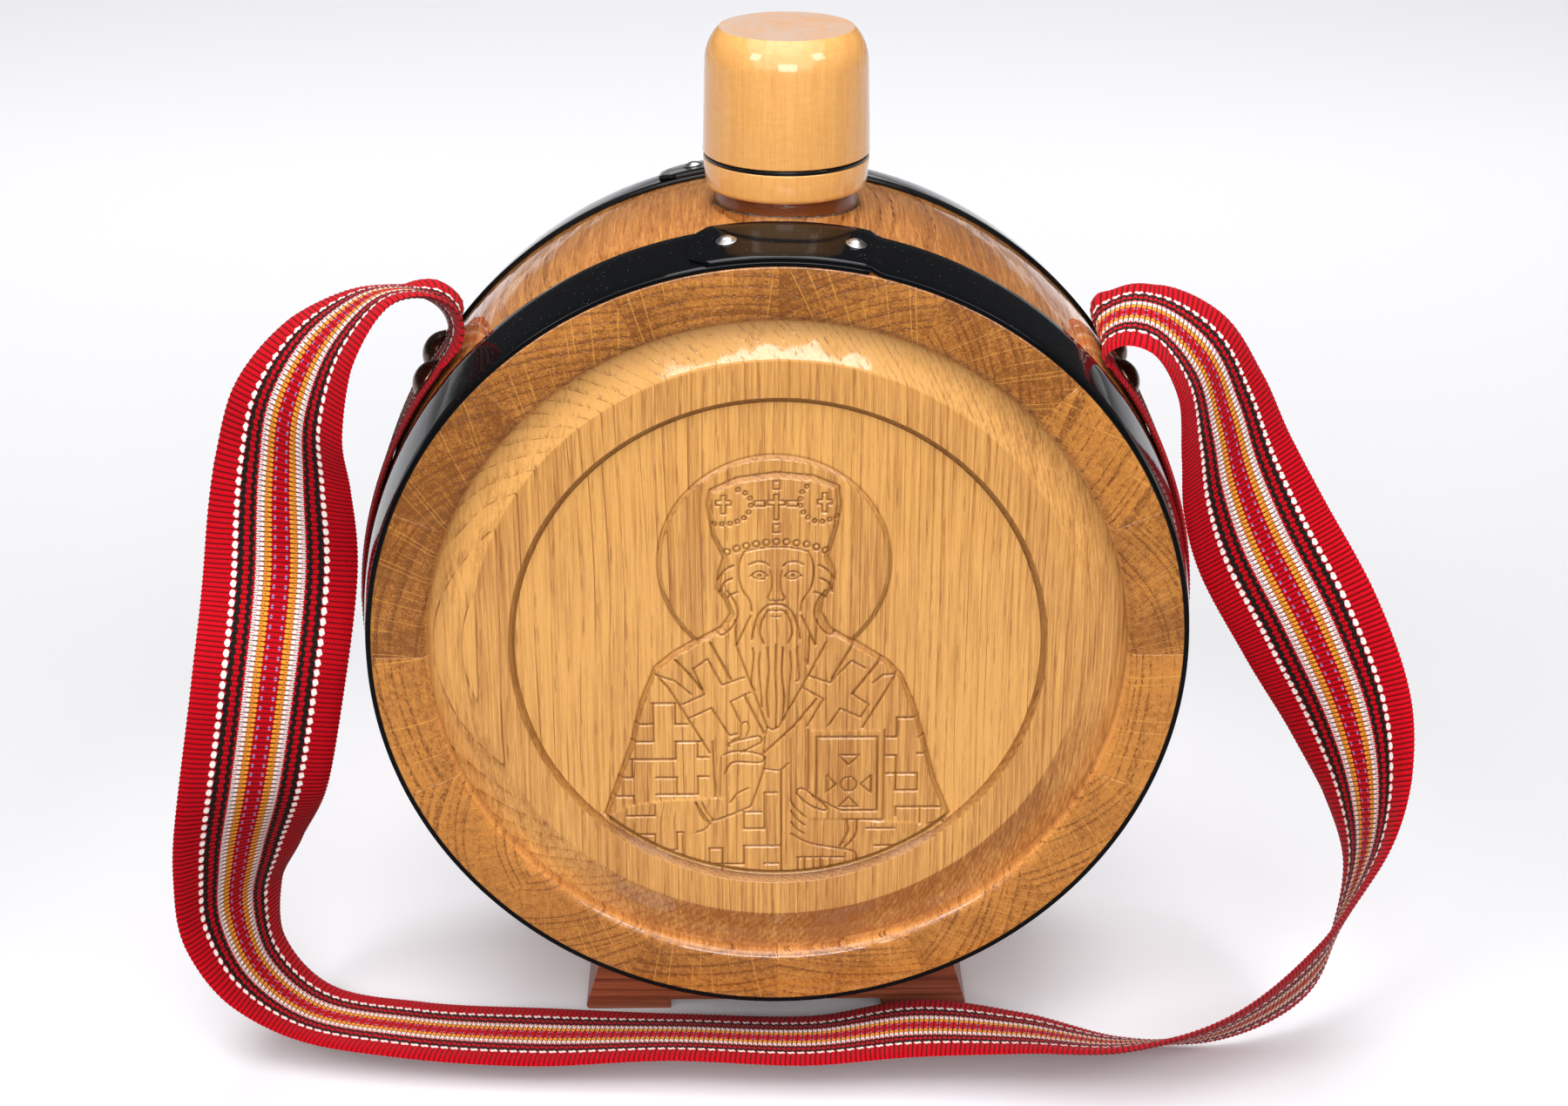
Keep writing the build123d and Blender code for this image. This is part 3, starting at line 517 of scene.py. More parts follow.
def smooth(piece, sharp=30):
    """Shades a piece smooth, with edges sharper than an angle kept."""
    select_only(piece)
    bpy.ops.object.shade_smooth_by_angle(angle=math.radians(sharp))


def apply_modifier(piece, kind, **values):
    """Adds a modifier, sets it and applies it."""
    select_only(piece)
    modifier = piece.modifiers.new(kind.lower(), kind)
    for name, value in values.items():
        setattr(modifier, name, value)
    bpy.ops.object.modifier_apply(modifier=modifier.name)


def points_of(piece):
    """A mesh's points as rows of three."""
    places = np.empty(len(piece.data.vertices) * 3)
    piece.data.vertices.foreach_get("co", places)
    return places.reshape(-1, 3)


def move_points(piece, places):
    """Puts a mesh's points in new places."""
    piece.data.vertices.foreach_set("co", places.ravel())
    piece.data.update()


def store(piece, name, values):
    """Stores a number or, from rows of three, a vector for each point of a mesh."""
    vector = values.ndim > 1
    attribute = piece.data.attributes.new(name, "FLOAT_VECTOR" if vector else "FLOAT", "POINT")
    attribute.data.foreach_set("vector" if vector else "value", values.ravel())


def new_piece(name, add, **values):
    """A new mesh from one of Blender's primitives."""
    bpy.ops.object.select_all(action="DESELECT")
    add(**values)
    piece = bpy.context.object
    piece.name = name
    return piece


def new_grid(name, columns, rows):
    """A flat square of side 1 in the X, Y plane, divided evenly."""
    add = bpy.ops.mesh.primitive_grid_add
    return new_piece(name, add, x_subdivisions=columns, y_subdivisions=rows, size=1)


def copy_piece(piece, name):
    """A copy with its own mesh."""
    twin = piece.copy()
    twin.data = piece.data.copy()
    twin.name = name
    bpy.context.scene.collection.objects.link(twin)
    return twin


def join_pieces(name, pieces):
    """Joins pieces into one."""
    select_only(*pieces)
    if len(pieces) > 1:
        bpy.ops.object.join()
    joined = bpy.context.view_layer.objects.active
    joined.name = name
    joined.data.name = name
    return joined


def discard(piece):
    """Removes a helper object and its mesh."""
    mesh = piece.data
    bpy.data.objects.remove(piece)
    bpy.data.meshes.remove(mesh)


def cut_away(piece, cutter):
    """Cuts one closed piece out of another."""
    apply_modifier(piece, "BOOLEAN", object=cutter, operation="DIFFERENCE", solver="EXACT")


def finish_piece(piece, body, slot, *nodes, materials=(), grain=None, tone=0.5):
    """Lays a piece's grain, gives it its materials and body, and hides the CAD nodes it stands for; its
    slot is not used.
    """
    if grain is not None:
        lay_grain(piece, grain, tone)
    piece.data.materials.clear()
    for material in materials:
        piece.data.materials.append(material)
    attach(piece, body)
    if nodes:
        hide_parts(*nodes)


# Outlines

def rounded(corners, steps=5):
    """Points of an outline from corners (across, along, radius), each turned by its arc."""
    points = []
    for index, (across, along, radius) in enumerate(corners):
        here = Vector((across, along))
        before = (Vector(corners[index - 1][:2]) - here).normalized()
        after = (Vector(corners[(index + 1) % len(corners)][:2]) - here).normalized()
        if radius == 0:
            points.append(here)
            continue
        half = before.angle(after) / 2
        centre = here + (before + after).normalized() * radius / math.sin(half)
        start = here + before * radius / math.tan(half) - centre
        end = here + after * radius / math.tan(half) - centre
        sweep = start.angle(end)
        side = 1 if start.cross(end) > 0 else -1
        for step in range(steps + 1):
            spoke = start.copy()
            spoke.rotate(Matrix.Rotation(side * sweep * step / steps, 2))
            points.append(centre + spoke)
    return points


def draw_outline(name, points, plane="XY", closed=True):
    """A line from point to point in a plane, extruded vertex by vertex."""
    spots = [Vector((a, b, 0)) if plane == "XY" else Vector((a, 0, b)) for a, b in points]
    piece = new_piece(name, bpy.ops.mesh.primitive_plane_add, size=MM, location=(0, 0, 0))
    piece.data.name = name
    with editing(piece):
        bpy.ops.mesh.merge(type="CENTER")
        bpy.ops.transform.translate(value=spots[0])
        for start, end in zip(spots, spots[1:]):
            bpy.ops.mesh.extrude_vertices_move(TRANSFORM_OT_translate={"value": end - start})
        if closed:
            bpy.ops.mesh.extrude_vertices_move(TRANSFORM_OT_translate={"value": spots[0] - spots[-1]})
        bpy.ops.mesh.select_all(action="SELECT")
        bpy.ops.mesh.remove_doubles(threshold=0.001 * MM)
    return piece


def turn_piece(name, points, axis="Z", steps=TURN_STEPS, closed=True, sharp=30):
    """A piece turned all round from its outline of radii and heights."""
    piece = draw_outline(name, points, "XY" if axis == "Y" else "XZ", closed)
    line = (0, 1, 0) if axis == "Y" else (0, 0, 1)
    with editing(piece):
        bpy.ops.mesh.spin(steps=steps, angle=math.tau, center=(0, 0, 0), axis=line)
    tidy(piece, sharp)
    return piece


# The body's form

def arc_sizes():
    """Radius and centre of the arc that the staves follow from rim to rim."""
    rise = settings("body").belly_rise
    radius = (HALF_DEPTH**2 + rise**2) / (2 * rise)
    return radius, BELLY_RADIUS - radius


def wall_radius(y, offset):
    """Radius of the body at a depth, moved out by an offset."""
    radius, centre = arc_sizes()
    return centre + math.sqrt((radius + offset) ** 2 - y**2)


def hoop_radius():
    """Outer radius of a hoop at the rim."""
    body = settings("body")
    return BELLY_RADIUS - body.belly_rise + body.hoop_thickness


def round_body(angle):
    """Takes what is modelled in the X, Y half plane to an angle, clockwise from the top."""
    return Matrix.Translation(CENTRE) @ Matrix.Rotation(angle - math.pi / 2, 4, "Y")


def on_wall(angle, y, offset):
    """A place on the body's arc with its own Z axis pointing straight out."""
    radius, centre = arc_sizes()
    tilt = math.asin(y / (radius + offset))
    out = Matrix.Translation((centre, 0, 0)) @ Matrix.Rotation(tilt, 4, "Z")
    out = out @ Matrix.Translation((radius + offset, 0, 0))
    return round_body(angle) @ out @ Matrix.Rotation(math.pi / 2, 4, "Y")


def wall_points(y_from, y_to, offset, count):
    """Points along the body's arc at an offset."""
    depths = [y_from + (y_to - y_from) * step / count for step in range(count + 1)]
    return [(wall_radius(y, offset), y, 0) for y in depths]


def cut_belly(piece):
    """Hollows a piece to the belly's form."""
    arc = [point[:2] for point in wall_points(-HALF_DEPTH, HALF_DEPTH, 0, 24)]
    belly = turn_piece("belly", [(0, -HALF_DEPTH)] + arc + [(0, HALF_DEPTH)], "Y", 192)
    place_mesh(belly, Matrix.Translation(CENTRE))
    cut_away(piece, belly)
    discard(belly)


# Grain

def lay_grain(piece, to_block, tone):
    """Stores where each point lay in its log, in millimetres with the fibre along Z."""
    matrix = np.array(to_block)
    for name in ("grain", "tone"):
        if name in piece.data.attributes:
            piece.data.attributes.remove(piece.data.attributes[name])
    store(piece, "grain", points_of(piece) / MM @ matrix[:3, :3].T + matrix[:3, 3])
    store(piece, "tone", np.full(len(piece.data.vertices), tone))


def fibre_along(axis, pith, turn=0.0):
    """From the canteen's own millimetres to a log whose fibre runs along an axis."""
    to_log = {
        "Z": Matrix.Identity(4),
        "Y": Matrix.Rotation(math.pi / 2, 4, "X"),
        "X": Matrix.Rotation(-math.pi / 2, 4, "Y"),
    }[axis]
    return Matrix.Translation(pith) @ Matrix.Rotation(turn, 4, "Z") @ to_log


# How the turned pieces of the neck and cap lay in their log.
TURNED_LOG = fibre_along("Z", (38, 14, 0))


# Node groups

class Value:
    """A result in a node tree, which can be reckoned with as a number can."""

    def __init__(self, tree, socket):
        self.tree = tree
        self.socket = socket

    def __add__(self, other):
        return calc(self.tree, "ADD", self, other)

    def __radd__(self, other):
        return calc(self.tree, "ADD", other, self)

    def __sub__(self, other):
        return calc(self.tree, "SUBTRACT", self, other)

    def __rsub__(self, other):
        return calc(self.tree, "SUBTRACT", other, self)

    def __mul__(self, other):
        return calc(self.tree, "MULTIPLY", self, other)

    def __truediv__(self, other):
        return calc(self.tree, "DIVIDE", self, other)

    def __abs__(self):
        return calc(self.tree, "ABSOLUTE", self)

    def held(self):
        """The same result, kept from 0 to 1."""
        self.socket.node.use_clamp = True
        return self


def feed(tree, node, inputs):
    """Joins a node's inputs to results, or sets them."""
    for key, value in inputs.items():
        if isinstance(value, Value):
            tree.links.new(value.socket, node.inputs[key])
        else:
            node.inputs[key].default_value = value


def add_node(tree, kind, inputs=None, **values):
    """Adds a node, sets its values and feeds it; returns its results by name."""
    node = tree.nodes.new(kind)
    for name, value in values.items():
        setattr(node, name, value)
    feed(tree, node, inputs or {})
    return {socket.identifier: Value(tree, socket) for socket in node.outputs}


def calc(tree, operation, first, second=0.0, third=0.0):
    """The result of a Math node."""
    return add_node(tree, "ShaderNodeMath", {0: first, 1: second, 2: third}, operation=operation)["Value"]


def vector_calc(tree, operation, inputs, output="Vector"):
    """The result of a Vector Math node."""
    return add_node(tree, "ShaderNodeVectorMath", inputs, operation=operation)[output]


def parts_of(vector):
    """The three numbers of a vector."""
    return tuple(add_node(vector.tree, "ShaderNodeSeparateXYZ", {0: vector}).values())


def combined(*numbers):
    """A vector from one to three numbers, the others nothing."""
    return add_node(numbers[0].tree, "ShaderNodeCombineXYZ", dict(enumerate(numbers)))["Vector"]


def ramp(value, low, high, to_low=0.0, to_high=1.0):
    """A smooth step of a value between two limits."""
    inputs = {"Value": value, "From Min": low, "From Max": high, "To Min": to_low, "To Max": to_high}
    return add_node(value.tree, "ShaderNodeMapRange", inputs, interpolation_type="SMOOTHSTEP")["Result"]


def mix(tree, share, first, second, blend="MIX"):
    """Two colours mixed."""
    inputs = {0: share, 6: first, 7: second}
    return add_node(tree, "ShaderNodeMix", inputs, data_type="RGBA", blend_type=blend)["Result_Color"]


def stretched(vector, scale, shift=(0, 0, 0)):
    """A vector scaled along each axis."""
    inputs = {"Vector": vector, "Scale": scale, "Location": shift}
    return add_node(vector.tree, "ShaderNodeMapping", inputs)["Vector"]


def noise(vector, scale=(1, 1, 1), detail=2.0, roughness=0.5, output="Fac"):
    """Soft noise along a stretched vector."""
    inputs = {"Vector": stretched(vector, scale), "Scale": 1.0}
    inputs.update(Detail=detail, Roughness=roughness)
    return add_node(vector.tree, "ShaderNodeTexNoise", inputs)[output]


def cells(vector, scale=(1, 1, 1), shift=(0, 0, 0), output="Distance"):
    """Distance to the nearest of many scattered points, along a stretched vector."""
    inputs = {"Vector": stretched(vector, scale, shift), "Scale": 1.0}
    return add_node(vector.tree, "ShaderNodeTexVoronoi", inputs)[output]


def new_group(name, inputs, outputs):
    """An empty node group with named sockets; returns the tree, its inputs and a setter."""
    tree = bpy.data.node_groups.new(name, "ShaderNodeTree")
    kinds = {"V": "NodeSocketVector", "F": "NodeSocketFloat", "C": "NodeSocketColor"}
    for label, kind, default in inputs:
        socket = tree.interface.new_socket(label, in_out="INPUT", socket_type=kinds[kind])
        if default is not None:
            socket.default_value = default
    for label, kind in outputs:
        tree.interface.new_socket(label, in_out="OUTPUT", socket_type=kinds[kind])
    entry = tree.nodes.new("NodeGroupInput")
    leave = tree.nodes.new("NodeGroupOutput")

    def put(label, value):
        tree.links.new(value.socket, leave.inputs[label])

    return tree, by_name(tree, entry), put


def by_name(tree, node):
    """A node's results by the names that they show."""
    return {socket.name: Value(tree, socket) for socket in node.outputs if socket.name}


def wood_group():
    """Oak or plainer wood from log coordinates: rings, pores, rays and fibre."""
    inputs = [
        ("Grain", "V", None),
        ("Tone", "F", 0.5),
        ("Light", "C", None),
        ("Dark", "C", None),
        ("Pore", "C", None),
        ("Ray", "C", None),
        ("Log Radius", "F", 80.0),
        ("Ring Pitch", "F", 2.4),
        ("Ring Contrast", "F", 0.5),
        ("Streak Amount", "F", 1.0),
        ("Pore Amount", "F", 1.0),
        ("Ray Amount", "F", 1.0),
        ("Ray Pitch", "F", 5.0),
        ("Line Amount", "F", 0.5),
        ("Fibre Amount", "F", 0.5),
        ("Curl Amount", "F", 0.0),
        ("Warp", "F", 3.0),
        ("Ripple", "F", 12.0),
    ]
    tree, given, put = new_group("Wood", inputs, [("Color", "C"), ("Roughness", "F"), ("Height", "F")])
    grain = given["Grain"]
    sway = noise(grain, (0.02, 0.02, 0.005), 2.0, output="Color")
    sway = vector_calc(tree, "SUBTRACT", {0: sway, 1: (0.5, 0.5, 0.5)})
    sway = vector_calc(tree, "SCALE", {0: sway, "Scale": given["Warp"]})
    bent = vector_calc(tree, "ADD", {0: grain, 1: sway})
    right, up, along = parts_of(bent)
    radius = vector_calc(tree, "LENGTH", {0: combined(right, up)}, output="Value")
    around = calc(tree, "ARCTAN2", up, right) * given["Log Radius"]
    polar = combined(around, radius, along)

    ring = radius / given["Ring Pitch"] + noise(polar, (0.01, 0.16, 0.002), 2.0) * 3.0
    share = calc(tree, "FRACT", ring)
    early = ramp(share, 0.5, 0.1) * ramp(share, 0.0, 0.06)
    strong = noise(combined(calc(tree, "FLOOR", ring)), (0.37, 1, 1), 0.0)
    early_shade = early * ramp(strong, 0.3, 0.65, 0.1, 1.0)

    fibre = noise(polar, (1.4, 1.9, 0.035), 3.0, 0.8)
    streak = noise(bent, (0.55, 0.55, 0.008), 3.0, 0.6)
    blotch = noise(bent, (0.05, 0.05, 0.012), 2.0, 0.5)
    curl = noise(bent, (0.3, 0.3, 0.9), 2.0, 0.6)

    pore_large = cells(polar, (0.8, 1.6, 0.12), (7, 3, 1))
    pore_small = cells(bent, (3.3, 3.3, 0.2))
    dense = ramp(early_shade + streak * 0.6, 0.3, 0.85)
    pores = ramp(pore_large, 0.40, 0.24) * dense
    specks = ramp(pore_small, 0.30, 0.15) * 0.5
    pores = (calc(tree, "MAXIMUM", pores, specks) * given["Pore Amount"]).held()

    sheets = around / given["Ray Pitch"] + noise(polar, (0.02, 0.03, 0.02), 0.0) * 1.2
    number = calc(tree, "FLOOR", sheets)
    sheet = combined(number, radius, along)
    middle = noise(combined(number), (0.73, 1, 1), 0.0)
    away = calc(tree, "FRACT", sheets) - ramp(middle, 0.3, 0.7, 0.15, 0.85)
    there = ramp(noise(sheet, (0.61, 0.035, 0.06), 1.0), 0.46, 0.54)
    thin = ramp(abs(away) * given["Ray Pitch"], 0.18, 0.06) * there
    fine = ramp(noise(polar, (2.2, 0.1, 0.3), 1.0), 0.55, 0.72)
    rays = (calc(tree, "MAXIMUM", fine * 0.25, thin) * given["Ray Amount"]).held()

    crack = ramp(share, 0.0, 0.03) * ramp(share, 0.11, 0.04)
    broken = ramp(noise(bent, (0.5, 0.5, 0.02), 2.0, 0.6), 0.42, 0.6)
    crack = (crack * (broken * given["Line Amount"])).held()

    drift = ((streak - 0.5) + (blotch - 0.5)) * given["Streak Amount"]
    shade = early_shade * given["Ring Contrast"] + given["Tone"] + drift
    thread = (fibre - 0.5) * given["Fibre Amount"]
    curly = (curl - 0.5) * given["Curl Amount"]
    shade = (shade + (thread + curly)).held()
    colour = mix(tree, shade, given["Light"], given["Dark"])
    colour = mix(tree, rays * 0.5, colour, given["Ray"])
    put("Color", mix(tree, calc(tree, "MAXIMUM", pores, crack) * 0.8, colour, given["Pore"]))
    put("Roughness", (0.3 + fibre * 0.16) + pores * 0.25)
    ripple = noise(grain, (0.13, 0.13, 0.05), 1.0)
    put("Height", (fibre * 0.25 - pores) + ripple * given["Ripple"])
    return tree


def dust_group():
    """Scattered specks and faint wipe marks on glossy surfaces."""
    inputs = [("Vector", "V", None), ("Density", "F", 0.35), ("Amount", "F", 1.0)]
    tree, given, put = new_group("Dust", inputs, [("Specks", "F"), ("Haze", "F")])
    place = given["Vector"]
    scatter = (1.1, 1.1, 1.1)
    near = cells(place, scatter)
    chosen = ramp(cells(place, scatter, output="Color") * 1.0, 0.62, 0.66)
    speck = ramp(near / (given["Density"] * 0.32), 1.0, 0.6)
    put("Specks", speck * chosen * given["Amount"])
    haze = noise(place, (0.06, 0.06, 0.06), 4.0, 0.6)
    put("Haze", ramp(haze, 0.4, 0.75) * given["Amount"])
    return tree


def shared(name):
    """A shared node group, built on first use."""
    builders = {"Wood": wood_group, "Dust": dust_group}
    return bpy.data.node_groups.get(name) or builders[name]()


def group_node(tree, name, inputs):
    """A shared node group placed in a material; returns its results."""
    node = tree.nodes.new("ShaderNodeGroup")
    node.node_tree = shared(name)
    feed(tree, node, inputs)
    return by_name(tree, node)


def new_material(name, **sockets):
    """A material with a Principled shader; returns it, its tree and the shader."""
    material = bpy.data.materials.new(name)
    material.use_nodes = True
    tree = material.node_tree
    shader = tree.nodes["Principled BSDF"]
    for key, value in sockets.items():
        shader.inputs[key.replace("_", " ")].default_value = value
    return material, tree, shader


def paint(colour):
    """A property's colour as a socket value."""
    return (*colour, 1.0)


def attribute_of(tree, name, output="Vector"):
    """An attribute of the piece."""
    return add_node(tree, "ShaderNodeAttribute", attribute_name=name)[output]


def object_millimetres(tree):
    """The piece's own coordinates in millimetres."""
    place = add_node(tree, "ShaderNodeTexCoord")["Object"]
    return stretched(place, (1 / MM, 1 / MM, 1 / MM))


def bump(tree, shader, height, distance, strength=1.0):
    """Relief of a surface, its depth in millimetres."""
    inputs = {"Height": height, "Distance": distance * MM, "Strength": strength}
    normal = add_node(tree, "ShaderNodeBump", inputs)["Normal"]
    feed(tree, shader, {"Normal": normal, "Coat Normal": normal})


# The woods: their light, dark, pore and ray colours, their lacquer and their figure.
WOODS = {
    # Straight-grained oak of the heads.
    "oak head": ("oak_light", "oak_dark", "oak_pore", "oak_ray", {}, {
        "Log Radius": 660.0, "Ring Pitch": 0.75, "Ring Contrast": 0.22, "Streak Amount": 0.9,
        "Pore Amount": 0.4, "Ray Amount": 0.05, "Line Amount": 0.9, "Warp": 2.5, "Fibre Amount": 2.2,
    }),
    # Oak of the staves, whose end grain shows on the rims.
    "oak stave": ("stave_light", "stave_dark", "oak_pore", "oak_ray", {}, {
        "Ring Pitch": 2.6, "Ring Contrast": 0.5, "Streak Amount": 1.2, "Pore Amount": 1.0,
        "Ray Amount": 1.0, "Ray Pitch": 3.2, "Line Amount": 0.5, "Warp": 3.0, "Fibre Amount": 2.6,
    }),
    # Fine lacquered wood of the neck and cap.
    "turned wood": ("cap_light", "cap_dark", "oak_pore", "cap_light", {"relief": 0.015, "coat": 0.8}, {
        "Ring Pitch": 4.0, "Ring Contrast": 0.1, "Streak Amount": 0.5, "Pore Amount": 0.15,
        "Ray Amount": 0.3, "Line Amount": 0.0, "Fibre Amount": 1.1, "Curl Amount": 0.5, "Ripple": 30.0,
    }),
    # Bare wood on top of the cap, only just sealed.
    "bare wood": (
        "cap_top", "cap_dark", "oak_pore", "cap_light",
        {"relief": 0.02, "coat": 0.15, "coat_rough": 0.35},
        {"Ring Pitch": 9.0, "Ring Contrast": 0.15, "Pore Amount": 0.05, "Ray Amount": 0.2,
         "Fibre Amount": 0.8, "Line Amount": 0.0},
    ),
    # Dark wood of the ring under the neck.
    "seat wood": (
        "seat_wood", "oak_pore", "oak_pore", "oak_dark", {"coat": 0.8, "coat_rough": 0.12},
        {"Pore Amount": 0.5, "Ray Amount": 0.2},
    ),
    # Reddish wood of the block.
    "block wood": (
        "base_light", "base_dark", "base_dark", "base_light", {"coat": 0.4, "coat_rough": 0.2},
        {"Ring Pitch": 3.4, "Ring Contrast": 0.6, "Pore Amount": 0.5, "Ray Amount": 0.2},
    ),
}
# Woods that are darkened where they were cut into, as pooled stain and painted shade, and how strongly, and
# woods whose ends show.
GLAZES_AND_SHADE = {"oak head": 0.8}
ENDS = {"oak stave": ("end_light", "end_dark")}


def wood(name):
    """One of the woods, made when it is first asked for."""
    *colours, lacquer, figure = WOODS[name]
    return bpy.data.materials.get(name) or wood_material(name, colours, figure, **lacquer)


def wood_material(name, colours, figure, relief=0.06, coat=1.0, coat_rough=0.05):
    """A wood with its own colours and figure, under its lacquer, darker where it was cut into, as pooled
    stain and painted shade.
    """
    tones = settings("finish")
    light, dark, pore, ray = (paint(getattr(tones, colour)) for colour in colours)
    material, tree, shader = new_material(
        name, Coat_Weight=coat, Coat_Roughness=coat_rough, Coat_IOR=1.5, IOR=1.45, Specular_IOR_Level=0.2
    )
    if name in ENDS:
        end_light, end_dark = (paint(getattr(tones, colour)) for colour in ENDS[name])
        facing = parts_of(add_node(tree, "ShaderNodeTexCoord")["Normal"])
        rim = ramp(abs(facing[1]), 0.5, 0.8)
        light = mix(tree, rim, light, end_light)
        dark = mix(tree, rim, dark, end_dark)
    inputs = {"Grain": attribute_of(tree, "grain"), "Tone": attribute_of(tree, "tone", "Fac")}
    inputs.update(figure, Light=light, Dark=dark, Pore=pore, Ray=ray)
    figured = group_node(tree, "Wood", inputs)
    colour = figured["Color"]
    if name in GLAZES_AND_SHADE:
        cut = attribute_of(tree, "cut", "Fac")
        # Painted shade: grooves and walls that were cut into are darkened, partly as pooled stain, partly
        # as shade; their coat is thinned too.
        stained_and_shaded = mix(tree, 1.0, colour, (0.3, 0.19, 0.1, 1), "MULTIPLY")
        colour = mix(tree, cut * GLAZES_AND_SHADE[name], colour, stained_and_shaded)
        feed(tree, shader, {"Coat Weight": coat - ramp(cut, 0.0, 0.5, 0.0, 0.85)})
    feed(tree, shader, {"Base Color": colour, "Roughness": figured["Roughness"]})
    bump(tree, shader, figured["Height"], relief, 0.6)
    return material


def dusty(tree, shader, colour, speck, amount, rough, haze_rough):
    """A glossy colour with dust on it, rougher where it was wiped."""
    dust = group_node(tree, "Dust", {"Vector": object_millimetres(tree), "Amount": amount})
    colour = mix(tree, dust["Specks"], paint(colour), paint(speck))
    feed(tree, shader, {"Base Color": colour, "Roughness": rough + dust["Haze"] * haze_rough})


def enamel_material():
    """Gloss black enamel with dust on it."""
    material, tree, shader = new_material("enamel", Roughness=0.1, IOR=1.27)
    dusty(tree, shader, settings("finish").enamel, (0.4, 0.4, 0.42), 0.6, 0.07, 0.08)
    wave = noise(object_millimetres(tree), (0.09, 0.05, 0.09), 2.0)
    bump(tree, shader, wave, 0.25, 0.5)
    return material


def metal_material(name, colour, rough, relief):
    """Bare or browned metal with fine scratches."""
    material, tree, shader = new_material(name, Metallic=1.0)
    place = object_millimetres(tree)
    cloud = noise(place, (0.7, 0.7, 0.7), 4.0, 0.6)
    shade = mix(tree, ramp(cloud, 0.35, 0.7), paint(colour), paint([c * 0.45 for c in colour]))
    scratch = noise(place, (6.0, 1.5, 6.0), 3.0, 0.7)
    worn = ramp(scratch, 0.3, 0.7, rough * 0.8, rough * 1.5)
    feed(tree, shader, {"Base Color": shade, "Roughness": worn})
    bump(tree, shader, cloud, relief, 0.5)
    return material


def plastic_material():
    """Black moulded plastic with a slight flow texture."""
    material, tree, shader = new_material("plastic", IOR=1.49)
    dusty(tree, shader, settings("finish").plastic, (0.3, 0.3, 0.3), 0.5, 0.18, 0.15)
    bump(tree, shader, noise(object_millimetres(tree), (1.5, 1.5, 0.6), 3.0), 0.03)
    return material


def rubber_material():
    """Pale sealing disc."""
    material, tree, shader = new_material("seal", Roughness=0.7)
    place = object_millimetres(tree)
    mottle = noise(place, (0.8, 0.8, 0.8), 3.0)
    colour = paint(settings("finish").rubber)
    worn = mix(tree, ramp(mottle, 0.4, 0.8), colour, (0.5, 0.46, 0.4, 1))
    feed(tree, shader, {"Base Color": worn})
    bump(tree, shader, noise(place, (4, 4, 4), 2.0), 0.03)
    return material


def glue_material():
    """Dark glue squeezed out of a joint."""
    material, tree, shader = new_material("glue", Coat_Weight=0.3, Coat_Roughness=0.3)
    place = object_millimetres(tree)
    cloud = noise(place, (0.8, 0.8, 0.8), 4.0, 0.7)
    glue = paint(settings("finish").glue)
    colour = mix(tree, ramp(cloud, 0.35, 0.65), glue, (0.13, 0.06, 0.02, 1))
    feed(tree, shader, {"Base Color": colour, "Roughness": ramp(cloud, 0.3, 0.7, 0.25, 0.6)})
    bump(tree, shader, noise(place, (2.5, 2.5, 2.5), 3.0), 0.15)
    return material


def stripe(across, centre, half):
    """One where the distance from the middle lies in a stripe."""
    return ramp(abs(across - centre), half * 1.15, half * 0.8)


def webbing_material():
    """Red webbing with woven stripes and painted shade in the grooves of its weave, from places across and
    along it in millimetres.
    """
    tones = settings("finish")
    material, tree, shader = new_material(
        "webbing", Roughness=0.75, IOR=1.4, Specular_IOR_Level=0.12, Sheen_Weight=0.04, Sheen_Roughness=0.4
    )
    place = attribute_of(tree, "weave")
    sideways, along = parts_of(place)[:2]
    across = abs(sideways / (settings("strap").width / MM))
    pick = along / (settings("strap").rib_pitch / MM)

    def beads(centre, half, period, fill, shift):
        beat = (calc(tree, "FRACT", pick / period + shift) - 0.5) * (2 / fill)
        side = (across - centre) / half
        return ramp(beat * beat + side * side, 1.3, 0.8)

    colour = paint(tones.strap_red)
    wave = calc(tree, "SINE", pick * math.pi) * 0.006
    for centre, half in ((0.262, 0.019), (0.192, 0.016)):
        colour = mix(tree, stripe(across + wave, centre, half), colour, paint(tones.strap_black))
    for centre, half, period, fill, shift, yarn in (
        (0.038, 0.009, 2.0, 0.4, 0.0, tones.strap_lilac),
        (0.074, 0.014, 1.0, 0.85, 0.0, tones.strap_yellow),
        (0.098, 0.014, 1.0, 0.85, 0.5, tones.strap_yellow),
        (0.124, 0.0145, 1.0, 0.86, 0.0, tones.strap_white),
        (0.150, 0.0145, 1.0, 0.86, 0.5, tones.strap_white),
    ):
        colour = mix(tree, beads(centre, half, period, fill, shift), colour, paint(yarn))
    # Painted shade: the grooves between the ribs and between the warp yarns are darkened, as shade on the
    # weave; the fuzz adds uneven yarn colour.
    rib = abs(calc(tree, "SINE", pick * math.pi))
    fuzz = noise(place, (3.0, 3.0, 3.0), 3.0, 0.7)
    grain = sideways + calc(tree, "FLOOR", pick) * 0.45
    grain = abs(calc(tree, "SINE", grain * (math.pi / 0.9)))
    shade = ramp(rib, 0.15, 0.85, 0.0, 1.0) + fuzz * 0.2
    shade = shade * ramp(grain, 0.05, 0.55, 0.66, 1.0)
    dark = mix(tree, 1.0, colour, (0.16, 0.16, 0.16, 1), "MULTIPLY")
    colour = mix(tree, calc(tree, "MINIMUM", shade, 1.0), dark, colour)
    colour = mix(tree, beads(0.300, 0.018, 2.0, 0.76, 0.0), colour, paint(tones.strap_white))
    feed(tree, shader, {"Base Color": colour})
    bump(tree, shader, (rib * 0.6 + grain * 0.4) + fuzz * 0.5, 0.25, 0.8)
    return material


# Pieces of the body

